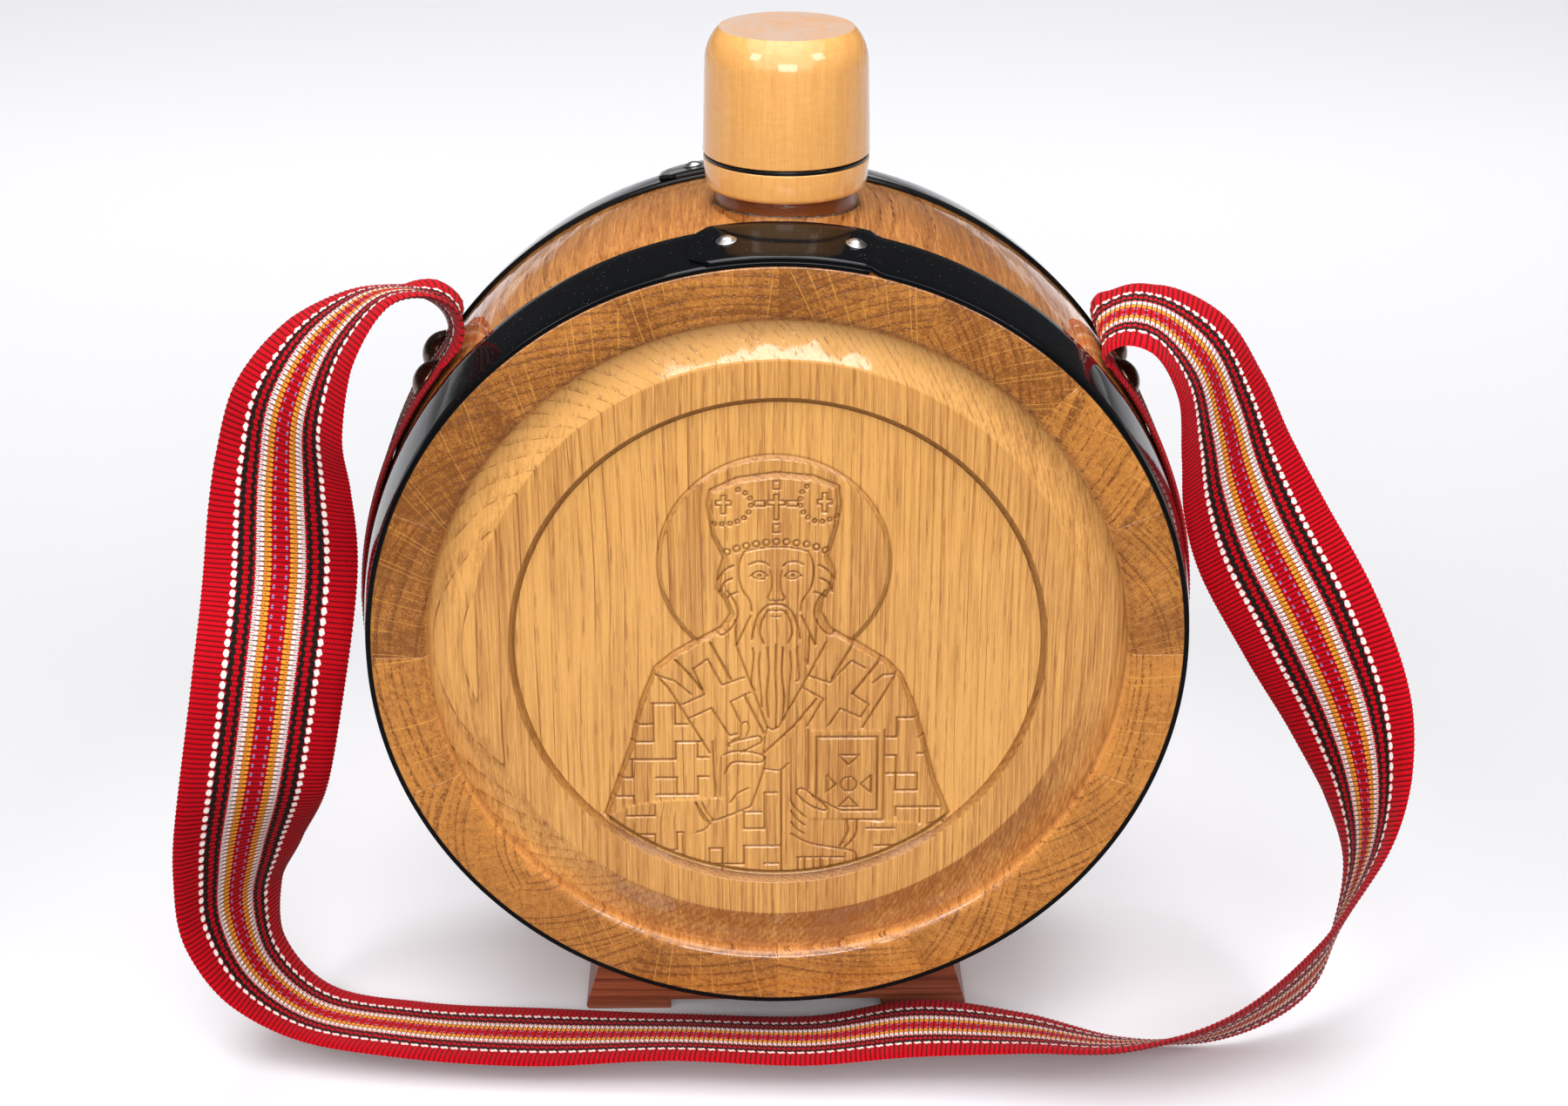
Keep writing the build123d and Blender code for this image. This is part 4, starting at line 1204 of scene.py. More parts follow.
def stave_outline():
    """A stave's section: outer arc, rim faces, inner arc and the two grooves."""
    body = settings("body")
    wall = -body.wall_thickness
    groove_front = HALF_DEPTH - body.chime_depth
    groove_back = groove_front - body.head_rim_thickness
    groove_radius = wall_radius(groove_front, wall) + body.croze_depth
    outer = wall_points(-HALF_DEPTH, HALF_DEPTH, 0, 24)
    inner = wall_points(groove_back, -groove_back, wall, 16)
    corners = [(*outer[0][:2], body.rim_round)] + outer[1:-1] + [(*outer[-1][:2], body.rim_round)]
    corners += [
        (wall_radius(HALF_DEPTH, wall), HALF_DEPTH, body.lip_round),
        (wall_radius(groove_front, wall), groove_front, 0),
        (groove_radius, groove_front, 0),
        (groove_radius, groove_back, 0),
    ]
    corners += inner
    corners += [
        (groove_radius, -groove_back, 0),
        (groove_radius, -groove_front, 0),
        (wall_radius(groove_front, wall), -groove_front, 0),
        (wall_radius(HALF_DEPTH, wall), -HALF_DEPTH, body.lip_round),
    ]
    return rounded(corners, 6)


def model_stave():
    """One stave, from the joint at the start angle through one share of the circle."""
    stave = draw_outline("stave", stave_outline())
    with editing(stave):
        bpy.ops.mesh.edge_face_add()
        bpy.ops.mesh.spin(steps=12, angle=STAVE_ANGLE, center=(0, 0, 0), axis=(0, -1, 0))
        face_outwards()
        choose(stave, lambda face: len(face.verts) > 8)
        bpy.ops.mesh.bevel(offset=settings("body").joint_bevel, segments=1, affect="EDGES")
    smooth(stave)
    return stave


class CANTEEN_OT_staves(bpy.types.Operator):
    """Models one stave, copies it round the body and lays each in its log"""

    bl_idname = "canteen.staves"
    bl_label = "Staves"

    def execute(self, context):
        neck = settings("neck")
        material = wood("oak stave")
        pattern = model_stave()
        radius = neck.bore_radius + neck.tube_wall + neck.gap
        top = 2 * BELLY_RADIUS
        bore = turn_piece("bore", [(0, 0), (radius, 0), (radius, top), (0, top)], steps=48)
        place_mesh(bore, Matrix.Translation((neck.offset, 0, CENTRE.z)))
        for index, (turn, pith, tone) in enumerate(STAVE_LOGS):
            name = f"stave_{index + 1:02d}"
            stave = copy_piece(pattern, name + "_oak")
            angle = index * STAVE_ANGLE
            place_mesh(stave, round_body(angle))
            if index in (0, STAVE_COUNT - 1):
                cut_away(stave, bore)
                smooth(stave)
            middle = angle + STAVE_ANGLE / 2
            outward = (round_body(middle) @ Matrix.Translation((BELLY_RADIUS, 0, 0))).inverted()
            scaled = Matrix.Scale(1 / MM, 4) @ outward @ Matrix.Scale(MM, 4)
            log = fibre_along("Y", (pith, 0, 40 * index), math.radians(turn))
            finish_piece(
                stave, "root", "oak_stave", name, materials=[material], grain=log @ scaled, tone=tone
            )
        discard(pattern)
        discard(bore)
        return {"FINISHED"}


def head_outline(inner_radius, sunk):
    """A head's section, radius by depth, from an inner radius out to its groove."""
    body = settings("body")
    rim_front = HALF_DEPTH - body.chime_depth
    rim_back = rim_front - body.head_rim_thickness
    flat = rim_front + body.head_bevel_rise
    wall = wall_radius(rim_front, -body.wall_thickness)
    rim = wall + body.croze_depth - body.head_rim_gap
    corners = [
        (inner_radius, rim_back, 0),
        (rim, rim_back, 0),
        (rim, rim_front, 0),
        (wall, rim_front, 0),
        (wall - body.head_bevel_width, flat, body.crease_round),
    ]
    if sunk:
        corners += [(inner_radius + body.field_sink, flat, 0.15 * body.field_sink)]
        flat -= body.field_sink
    corners += [(inner_radius, flat, 0)]
    return rounded(corners, 6)


def head_log():
    """How the boards of the heads lay in their log: upright, far from the pith."""
    return fibre_along("Z", (170, 640, 0))


# The tone of the heads' wood, and that of the front head's sloping band, which is painted lighter
# towards its top left and darker towards its bottom right, as painted light and shade.
HEAD_TONE = 0.3
BAND_WAY = (0.35, -0.94)
BAND_PLACES = (-0.94, -0.2, 0.5, 0.8, 1)
BAND_PAINTED_SHADES = (-0.1, 0.25, 0.35, 0.75, 0.85)
HEAD_STEPS = 180


def rim_shades(places):
    """How deep the wall of the sunk field was cut into, which darkens it as pooled stain and painted shade,
    and the band's tone with its painted light and shade, point by point.
    """
    body = settings("body")
    flat = HALF_DEPTH - body.chime_depth + body.head_bevel_rise
    depth = places[:, 1] + flat
    reach = np.hypot(places[:, 0], places[:, 2])
    wall = (depth > 0) & (depth < 2 * body.field_sink)
    wall &= reach < body.field_radius + 0.98 * body.field_sink
    # The wall of the sunk field is darkened, more the deeper it lies: partly pooled stain, partly painted
    # shade.
    cut = np.where(wall, np.clip(0.5 + 0.6 * depth / body.field_sink, 0.5, 1.0), 0.0)
    # Painted light and shade: the band is lighter towards its top left and darker towards its bottom right.
    band = (depth > 0.02 * MM) & (reach > body.field_radius + 2 * body.field_sink)
    down = (BAND_WAY[0] * places[:, 0] + BAND_WAY[1] * places[:, 2]) / np.maximum(reach, MM)
    return cut, np.where(band, np.interp(down, BAND_PLACES, BAND_PAINTED_SHADES), HEAD_TONE)


class CANTEEN_OT_heads(bpy.types.Operator):
    """Turns the back head and the raised rim of the front head"""

    bl_idname = "canteen.heads"
    bl_label = "Heads"

    def execute(self, context):
        material = wood("oak head")
        rim_points = head_outline(settings("body").field_radius, True)
        rim = turn_piece("head_front_rim", rim_points, "Y", HEAD_STEPS)
        place_mesh(rim, Matrix.Translation(CENTRE) @ Matrix.Rotation(math.pi, 4, "Z"))
        back = turn_piece("head_back_panel", head_outline(0, False), "Y", HEAD_STEPS)
        place_mesh(back, Matrix.Translation(CENTRE))
        cut, shades = rim_shades(points_of(rim) - np.array(CENTRE))
        store(rim, "cut", cut)
        for piece, node, tone in ((rim, "head_front", shades), (back, "head_back", HEAD_TONE)):
            finish_piece(piece, "root", "oak_head", node, materials=[material], grain=head_log(), tone=tone)
        return {"FINISHED"}


# Carving

def curve_through(points, steps=5):
    """A smooth line through points."""
    spots = [np.array(point, float) for point in points]
    spots = [2 * spots[0] - spots[1]] + spots + [2 * spots[-1] - spots[-2]]
    line = []
    for index in range(1, len(spots) - 2):
        before, start, end, after = spots[index - 1 : index + 3]
        for step in range(steps):
            t = step / steps
            bend = (end - before) * t + (2 * before - 5 * start + 4 * end - after) * t**2
            line.append(start + (bend + (3 * start - before - 3 * end + after) * t**3) / 2)
    return line + [spots[-2]]


def distance_to_line(across, up, points):
    """Distance of each place from a line of points, and the side on which it lies."""
    nearest = np.full(across.shape, np.inf)
    side = np.zeros(across.shape)
    for (x, z), (x_end, z_end) in zip(points, points[1:]):
        run, rise = x_end - x, z_end - z
        share = ((across - x) * run + (up - z) * rise) / max(run**2 + rise**2, 1e-9)
        share = np.clip(share, 0, 1)
        away = np.hypot(across - x - share * run, up - z - share * rise)
        turn = np.sign(run * (up - z) - rise * (across - x))
        side = np.where(away < nearest, turn, side)
        nearest = np.minimum(nearest, away)
    return nearest, side


def inside(across, up, outline):
    """Which places lie inside a closed outline."""
    hits = np.zeros(across.shape, bool)
    for (x, z), (x_end, z_end) in zip(outline, outline[1:] + outline[:1]):
        if z == z_end:
            continue
        crosses = (up < z) != (up < z_end)
        hits ^= crosses & (across < (x_end - x) * (up - z) / (z_end - z) + x)
    return hits


def eased(values):
    """A smooth step from 0 to 1."""
    held = np.clip(values, 0, 1)
    return held * held * (3 - 2 * held)


# The groove at the foot of a raised part (how far out, half width, depth), how dark its slope
# is painted, as stain and painted shade, and the depth and half width of the groove round a bead.
FOOT_SHIFT = 0.15
FOOT_HALF = 0.5
FOOT_DEPTH = 0.3
SLOPE_STAIN_AND_SHADE = 0.4
BEAD_DEPTH = 0.5
BEAD_HALF = 0.42


class Relief:
    """Heights over the field, raised in steps and then cut by strokes, and how dark each place is painted,
    as pooled stain and painted shade.
    """

    def __init__(self, across, up):
        self.across = across
        self.up = up
        self.height = np.zeros(across.shape)
        self.stain_and_shade = np.zeros(across.shape)

    def near(self, points, reach):
        """The places in a box round some points."""
        xs, zs = zip(*points)
        close = (self.across > min(xs) - reach) & (self.across < max(xs) + reach)
        close &= (self.up > min(zs) - reach) & (self.up < max(zs) + reach)
        return np.nonzero(close)[0]

    def depth_inside(self, outline):
        """How deep each place lies inside an outline; less than nothing outside."""
        away, side = distance_to_line(self.across, self.up, outline + outline[:1])
        return np.where(inside(self.across, self.up, outline), away, -away)

    def raise_to(self, depth, height, slope, bare=1.0):
        """Raises what lies inside an edge, over a slope at the edge, where the foot lies bare."""
        self.height = np.maximum(self.height, height * np.clip(depth / slope, 0, 1))
        foot = (1 - eased(np.abs(depth + FOOT_SHIFT) / FOOT_HALF)) * bare
        self.height -= FOOT_DEPTH * foot
        # The foot of each raised part and its slope are darkened: partly pooled stain, partly painted
        # shade.
        self.stain_and_shade = np.maximum(self.stain_and_shade, foot)
        self.stain_and_shade = np.maximum(self.stain_and_shade, SLOPE_STAIN_AND_SHADE * bare * ((depth > 0) & (depth < slope)))

    def cut(self, points, half, depth):
        """Cuts a rounded groove along a line."""
        spots = self.near(points, half)
        away, side = distance_to_line(self.across[spots], self.up[spots], points)
        groove = 1 - eased(away / half)
        self.height[spots] -= depth * groove
        # The groove is darkened too: partly pooled stain, partly painted shade.
        self.stain_and_shade[spots] = np.maximum(self.stain_and_shade[spots], groove)

    def hem(self, points, lift, fade, slope):
        """Raises the lower side of a line, fading out away from it."""
        spots = self.near(points, fade)
        away, side = distance_to_line(self.across[spots], self.up[spots], points)
        self.height[spots] += lift * np.where(side < 0, 1 - eased(away / fade), 1 - eased(away / slope))

    def bead(self, x, z, radius):
        """Cuts a ring that leaves a small dome standing."""
        spots = self.near([(x, z)], radius + BEAD_HALF)
        away = np.hypot(self.across[spots] - x, self.up[spots] - z)
        groove = 1 - eased(np.abs(away - radius) / BEAD_HALF)
        self.height[spots] -= BEAD_DEPTH * groove
        # The ring groove is darkened too: partly pooled stain, partly painted shade.
        self.stain_and_shade[spots] = np.maximum(self.stain_and_shade[spots], groove)


def cross_outline(x, z, reach, up, down, half):
    """The outline of a cross, closed."""
    corners = [
        (-half, up), (half, up), (half, half), (reach, half), (reach, -half), (half, -half),
        (half, -down), (-half, -down), (-half, -half), (-reach, -half), (-reach, half), (-half, half),
        (-half, up),
    ]
    return [(x + a, z + b) for a, b in corners]


def carve(across, up):
    """Heights of the whole carving in millimetres, and how far each place was cut into, which darkens it as
    pooled stain and painted shade.
    """
    sizes = settings("carving")
    body = settings("body")
    relief = Relief(across, up)
    from_halo = np.hypot(across - sizes.halo_shift / MM, up - sizes.halo_lift / MM)
    depth = relief.depth_inside(FIGURE_OUTLINE)
    edge = (body.field_radius - sizes.margin) / MM
    depth = np.minimum(depth, edge - np.hypot(across, up))
    outside = np.clip(-depth, 0, 1)
    relief.raise_to(sizes.halo_radius / MM - from_halo, sizes.halo_rise / MM, sizes.slope / MM, outside)
    relief.raise_to(depth, sizes.figure_rise / MM, sizes.slope / MM)
    book = eased(relief.depth_inside(BOOK_OUTLINE) / BOOK_SLOPE)
    relief.height += BOOK_RISE * book * (relief.height > 0)
    past, swing, half, deep = FOOT_GROOVE
    turns = np.linspace(-swing, swing, 40)
    relief.cut([((edge + past) * math.sin(t), -(edge + past) * math.cos(t)) for t in turns], half, deep)
    for hem in HEMS:
        relief.hem(hem, *HEM_SIZES)
    mirrored = [
        ([(2 * FACE_MIDDLE - x, z) for x, z in points], half, depth)
        for points, half, depth in MIRRORED_STROKES
    ]
    for points, half, depth in MIRRORED_STROKES + mirrored + FACE_STROKES + HAND_STROKES:
        relief.cut(curve_through(points), half, depth)
    for points, half, depth in ROBE_STROKES + BOOK_STROKES:
        relief.cut(points, half, depth)
    for x, top, foot, sway in BEARD_LOCKS:
        middle = (top + foot) / 2
        course = [(x, top), (x + sway, middle + 4), (x - sway, middle - 4), (x * 0.9, foot)]
        relief.cut(curve_through(course), *LOCK_CUT)
    for start, end, height in LEVEL_STROKES:
        relief.cut([(start, height), (end, height)], *LEVEL_CUT)
    for x, top, foot in UPRIGHT_STROKES:
        relief.cut([(x, top), (x, foot)], *UPRIGHT_CUT)
    for x, z, reach, top, down in HAT_CROSSES:
        relief.cut(cross_outline(x, z, reach, top, down, CROSS_ARM), *HAT_CUT)
    for x, z, width, height in HAT_BARS:
        corners = [(-1, 1), (1, 1), (1, -1), (-1, -1), (-1, 1)]
        relief.cut([(x + a * width / 2, z + b * height / 2) for a, b in corners], *HAT_CUT)
    for points, count, radius in BEAD_LINES:
        line = np.array(curve_through(points, 12))
        run = np.concatenate(([0], np.cumsum(np.hypot(*np.diff(line, axis=0).T))))
        for place in np.linspace(0, run[-1], count):
            relief.bead(np.interp(place, run, line[:, 0]), np.interp(place, run, line[:, 1]), radius)
    x, z, radius = BOOK_RING
    turns = np.linspace(0, math.tau, 25)
    relief.cut([(x + radius * math.cos(t), z + radius * math.sin(t)) for t in turns], *RING_CUT)
    for side in (-1, 1):
        relief.bead(FACE_MIDDLE + side * PUPIL[0], PUPIL[1], PUPIL[2])
    return relief.height, relief.stain_and_shade


# The bare ground of the field: how high it may lie in millimetres and still take its paler
# tone, that tone, and how far the pieces reach down behind it.
FIELD_RISE = 0.3
FIELD_TONE = 0.1
FIELD_DEPTH = 4 * MM


class CANTEEN_OT_carving(bpy.types.Operator):
    """Carves the sunk field of the front head in an upper and a lower piece"""

    bl_idname = "canteen.carving"
    bl_label = "Carved field"

    def execute(self, context):
        body = settings("body")
        reach = body.field_radius + settings("carving").overlap
        cell = settings("carving").cell
        depth = HALF_DEPTH - body.chime_depth + body.head_bevel_rise - body.field_sink
        columns = int(2 * reach / cell)
        for label, middle in (("upper", reach / 2), ("lower", -reach / 2)):
            piece = new_grid("head_front_field_" + label, columns, columns // 2)
            stand = Matrix.Translation(CENTRE + Vector((0, -depth, middle)))
            stand = stand @ Matrix.Rotation(math.pi / 2, 4, "X")
            place_mesh(piece, stand @ Matrix.Diagonal((2 * reach, reach, 1, 1)))
            with editing(piece):
                choose(piece, lambda face: (face.calc_center_median() - CENTRE).xz.length > reach)
                bpy.ops.mesh.delete(type="FACE")
            places = points_of(piece)
            heights, stain_and_shade = carve(places[:, 0] / MM, (places[:, 2] - CENTRE.z) / MM)
            # The cut attribute darkens grooves, slopes and feet of raised parts: partly pooled stain,
            # partly painted shade.
            store(piece, "cut", stain_and_shade)
            places[:, 1] -= heights * MM
            move_points(piece, places)
            with editing(piece):
                choose(piece, lambda edge: edge.is_boundary, "edges")
                bpy.ops.mesh.extrude_edges_move(TRANSFORM_OT_translate={"value": (0, FIELD_DEPTH, 0)})
                bpy.ops.transform.resize(value=(1, 0, 1), center_override=(0, FIELD_DEPTH - depth, 0))
                bpy.ops.mesh.edge_face_add()
                face_outwards()
            smooth(piece, 60)
            tone = np.full(len(piece.data.vertices), HEAD_TONE)
            tone[:len(heights)] = np.where(heights < FIELD_RISE, FIELD_TONE, HEAD_TONE)
            finish_piece(
                piece, "root", "oak_head", "head_front",
                materials=[wood("oak head")], grain=head_log(), tone=tone,
            )
        return {"FINISHED"}


# Hoops

# How finely a hoop's strip is divided along and across.
HOOP_CELLS = (420, 6)


def strip_places(places, side, lap_end):
    """Bends a flat strip, its length along X and width along Y, round the rim."""
    body = settings("body")
    radius, centre = arc_sizes()
    run, across, up = places.T
    lapped = lap_end + body.lap_length
    over = np.clip((lapped + body.lap_ramp - run) / body.lap_ramp, 0, 1)
    lift = body.hoop_thickness * over + up
    depth = side * (HALF_DEPTH - body.hoop_width / 2) + across
    out = centre + np.sqrt((radius + lift) ** 2 - depth**2)
    angle = run / hoop_radius()
    return np.column_stack((out * np.sin(angle), depth, CENTRE.z + out * np.cos(angle)))


def model_hoop(name, side, lap_end):
    """A steel strip modelled flat, its end clipped, then bent round the body."""
    body = settings("body")
    whole = math.tau * hoop_radius() + body.lap_length
    strip = new_grid(name, *HOOP_CELLS)
    scale = Matrix.Diagonal((whole, body.hoop_width, 1, 1))
    place_mesh(strip, Matrix.Translation((lap_end + whole / 2, 0, 0)) @ scale)
    with editing(strip):
        for edge in (-1, 1):
            bpy.ops.mesh.select_all(action="SELECT")
            corner = (lap_end + body.lap_corner, edge * body.hoop_width / 2, 0)
            bpy.ops.mesh.bisect(plane_co=corner, plane_no=(-1, edge, 0), clear_outer=True, threshold=1e-7)
        bpy.ops.mesh.select_all(action="SELECT")
        bpy.ops.mesh.remove_doubles(threshold=0.01 * MM)
    apply_modifier(strip, "SOLIDIFY", thickness=body.hoop_thickness, offset=1)
    apply_modifier(strip, "BEVEL", width=body.hoop_edge, segments=2, limit_method="ANGLE")
    move_points(strip, strip_places(points_of(strip), side, lap_end))
    with editing(strip):
        face_outwards()
    smooth(strip, 40)
    return strip


class CANTEEN_OT_hoops(bpy.types.Operator):
    """Bends both hoops from flat strip and closes each with two rivets"""

    bl_idname = "canteen.hoops"
    bl_label = "Hoops and rivets"

    def execute(self, context):
        body = settings("body")
        enamel = enamel_material()
        steel = metal_material("rivet steel", settings("finish").steel, 0.3, 0.06)
        for label, side, lap_end in (("front", -1, body.lap_end_front), ("back", 1, body.lap_end_back)):
            hoop = model_hoop(f"hoop_{label}_strip", side, lap_end)
            finish_piece(hoop, "root", "hoop_steel", "hoop_" + label, materials=[enamel])
            rivets = []
            for index in range(2):
                run = lap_end + body.rivet_margin + index * body.rivet_pitch
                rivet = model_rivet("rivet")
                middle = side * (HALF_DEPTH - body.hoop_width / 2)
                place_mesh(rivet, on_wall(run / hoop_radius(), middle, 2 * body.hoop_thickness))
                rivets.append(rivet)
            pair = join_pieces(f"rivets_{label}", rivets)
            finish_piece(pair, "root", "rivet_steel", "hoop_rivets_" + label, materials=[steel])
        return {"FINISHED"}


def dome_points(radius, height, steps=8):
    """Points of a dome from its top outwards."""
    ball = (radius**2 + height**2) / (2 * height)
    spread = math.asin(min(1.0, radius / ball))
    turns = [spread * step / steps for step in range(steps + 1)]
    return [(ball * math.sin(turn), height - ball + ball * math.cos(turn)) for turn in turns]


def model_rivet(name):
    """A round rivet head on a short shank, slightly flattened by the hammer."""
    body = settings("body")
    dome = dome_points(body.rivet_radius, body.rivet_height)
    top = dome[1][1]
    outline = [(0, top)] + dome[1:-1] + [(body.rivet_radius, 0.12 * body.rivet_height)]
    outline += [(body.rivet_radius * 0.97, 0), (0, 0)]
    return turn_piece(name, outline, steps=32)


# Neck and cap

# A thread: how far it runs into its wall, half the width of its foot and of its crest as shares
# of its pitch, and its steps in a turn.
THREAD_ROOT = 0.1 * MM
THREAD_FOOT = 0.28
THREAD_CREST = 0.08
THREAD_STEPS = 64


def neck_matrix():
    """Where the neck's axis stands."""
    return Matrix.Translation((settings("neck").offset, 0, 0))


def half_width(corners):
    """Half the width of a box along X."""
    return (corners[1].x - corners[0].x) / 2


def thread_ring(radius, start, turns, side):
    """A thread wound round the neck's axis, outwards (side 1) or inwards (side -1)."""
    neck = settings("neck")
    pitch = neck.thread_pitch
    root = radius - side * THREAD_ROOT
    crest = radius + side * neck.thread_height
    foot, flat = THREAD_FOOT * pitch, THREAD_CREST * pitch
    outline = [(root, start - foot), (crest, start - flat), (crest, start + flat), (root, start + foot)]
    thread = draw_outline("thread", outline, "XZ")
    steps = int(turns * THREAD_STEPS)
    apply_modifier(
        thread, "SCREW", angle=turns * math.tau, screw_offset=turns * pitch,
        steps=steps, render_steps=steps, axis="Z",
    )
    with editing(thread):
        choose(thread, lambda edge: edge.is_boundary, "edges")
        bpy.ops.mesh.fill()
    tidy(thread, 40)
    return thread


class CANTEEN_OT_neck(bpy.types.Operator):
    """Turns the seat ring, the collar and the threaded tube with its dark flange"""

    bl_idname = "canteen.neck"
    bl_label = "Neck"

    def execute(self, context):
        neck = settings("neck")
        tube = neck.bore_radius + neck.tube_wall
        inner = tube + neck.gap
        seat_radius = half_width(SEAT_BOX) + neck.seat_spread
        drop = BELLY_RADIUS - math.sqrt(BELLY_RADIUS**2 - (seat_radius + neck.offset) ** 2)
        low, high = CENTRE.z + BELLY_RADIUS - drop - 1 * MM, SEAT_BOX[1].z
        seat = turn_piece("neck_seat_ring", rounded([
            (inner, low, 0), (seat_radius, low, 0), (seat_radius, high, neck.edge), (inner, high, 0),
        ], 3))
        place_mesh(seat, neck_matrix())
        cut_belly(seat)
        smooth(seat)
        finish_piece(
            seat, "root", "seat_wood", "neck_seat",
            materials=[wood("seat wood")], grain=fibre_along("X", (60, 20, 0)), tone=0.5,
        )

        collar_top_radius = half_width(COLLAR_BOX)
        foot = collar_top_radius - neck.collar_draft
        low, high = COLLAR_BOX[0].z, COLLAR_BOX[1].z
        collar = turn_piece("neck_collar_turned", rounded([
            (inner, low, 0), (foot, low, neck.collar_round), (collar_top_radius, high, neck.edge),
            (inner, high, 0),
        ]))
        place_mesh(collar, neck_matrix())
        finish_piece(
            collar, "root", "turned_wood", "neck_collar",
            materials=[wood("turned wood")], grain=TURNED_LOG, tone=0.4,
        )

        flange = half_width(TUBE_BOX)
        flange_top = high + neck.flange_thickness
        low, top = TUBE_BOX[0].z, TUBE_BOX[1].z
        edge = neck.edge / 2
        wall = turn_piece("neck_tube_wall", rounded([
            (neck.bore_radius, low, edge), (tube, low, edge), (tube, high, 0), (flange, high, edge),
            (flange, flange_top, edge), (tube, flange_top, 0), (tube, top, neck.edge),
            (neck.bore_radius, top, neck.edge),
        ], 3))
        thread = thread_ring(tube, flange_top + 0.55 * neck.thread_pitch, 2.6, 1)
        whole = join_pieces("neck_tube_threaded", [thread, wall])
        place_mesh(whole, neck_matrix())
        finish_piece(whole, "root", "neck_plastic", "neck_tube", materials=[plastic_material()])
        model_glue(seat_radius)
        return {"FINISHED"}


# The glue bead: its places round the ring, the seed of its draws, and how unevenly it swells
# and spreads, as shares of its thickness.
GLUE_STEPS = 220
GLUE_SEED = 5
GLUE_SWELL = 0.22
GLUE_SPREAD = 0.16


def model_glue(seat_radius):
    """The uneven bead of glue where the seat ring meets the belly."""
    neck = settings("neck")
    bead = new_piece(
        "neck_glue_bead", bpy.ops.mesh.primitive_torus_add, major_segments=GLUE_STEPS, minor_segments=10,
        major_radius=seat_radius, minor_radius=neck.glue_bead,
    )
    rng = np.random.default_rng(GLUE_SEED)
    swell = rng.normal(0, GLUE_SWELL, GLUE_STEPS)
    swell = (swell + np.roll(swell, 1) + np.roll(swell, -1)) / 1.8
    spread = rng.normal(0, GLUE_SPREAD, GLUE_STEPS)
    places = points_of(bead)
    angle = np.arctan2(places[:, 1], places[:, 0])
    index = np.round(angle / math.tau * GLUE_STEPS).astype(int) % GLUE_STEPS
    distance = np.hypot(places[:, 0], places[:, 1]) - seat_radius
    distance = distance * (0.9 + swell[index]) + neck.glue_bead * spread[index]
    radius = seat_radius + distance
    x = radius * np.cos(angle) + neck.offset
    y = radius * np.sin(angle)
    arc, centre = arc_sizes()
    belly = centre + np.sqrt(arc**2 - y**2)
    ground = CENTRE.z + np.sqrt(np.maximum(belly**2 - x**2, 0))
    z = ground + places[:, 2] * (0.8 + swell[index])
    move_points(bead, np.column_stack((x, y, z)))
    tidy(bead, 60)
    finish_piece(bead, "root", "seat_wood", materials=[glue_material()])


class CANTEEN_OT_cap(bpy.types.Operator):
    """Turns the cap, its threaded lining and the sealing disc"""

    bl_idname = "canteen.cap"
    bl_label = "Cap"

    def execute(self, context):
        neck = settings("neck")
        foot = half_width(CAP_BOX)
        side = foot - neck.cap_draft
        low, top = CAP_BOX[0].z, CAP_BOX[1].z
        shoulder = low + neck.cap_side
        rise = top - shoulder
        run = side - neck.cap_top_radius
        arc = (run**2 + rise**2) / (2 * run)
        lining = half_width(INSERT_BOX)
        cavity = lining + neck.gap
        roof = INSERT_BOX[1].z + neck.gap
        turns = [math.asin(rise / arc) * step / 12 for step in range(13)]
        shoulder_points = [
            Vector((side - arc + arc * math.cos(turn), shoulder + arc * math.sin(turn))) for turn in turns
        ]
        outline = rounded([
            (0, roof, 0), (cavity, roof, 0), (cavity, low, 0), (foot, low, neck.edge),
            (*shoulder_points[0], 0),
        ], 4)
        outline = outline[:-1] + shoulder_points + [Vector((0, top))]
        cap = turn_piece("cap_turned", outline, steps=128)
        place_mesh(cap, neck_matrix())
        finish_piece(
            cap, "cap", "turned_wood", "cap",
            materials=[wood("turned wood"), wood("bare wood")], grain=TURNED_LOG, tone=0.4,
        )
        for face in cap.data.polygons:
            if face.center.z > top - 0.01 * MM and face.normal.z > 0.9:
                face.material_index = 1

        bore = neck.bore_radius + neck.tube_wall + neck.insert_gap
        low, top = INSERT_BOX[0].z, INSERT_BOX[1].z
        ceiling = top - neck.insert_wall
        shell = turn_piece("shell", rounded([
            (bore, low, neck.edge), (lining, low, neck.edge), (lining, top, neck.edge), (0, top, 0),
            (0, ceiling, 0), (bore, ceiling, neck.edge),
        ], 3))
        thread = thread_ring(bore, low + 0.85 * neck.thread_pitch, 2.2, -1)
        whole = join_pieces("cap_lining_threaded", [thread, shell])
        place_mesh(whole, neck_matrix())
        finish_piece(whole, "cap", "neck_plastic", "cap_insert", materials=[bpy.data.materials["plastic"]])

        seal_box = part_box("cap_liner")
        radius = half_width(seal_box)
        low, top = seal_box[0].z, seal_box[1].z
        seal = turn_piece("cap_seal", rounded([
            (0, low, 0), (radius, low, neck.edge), (radius, top, neck.edge), (0, top, 0),
        ], 3))
        place_mesh(seal, neck_matrix())
        finish_piece(seal, "cap_lift", "liner_rubber", "cap_liner", materials=[rubber_material()])
        return {"FINISHED"}


# Base

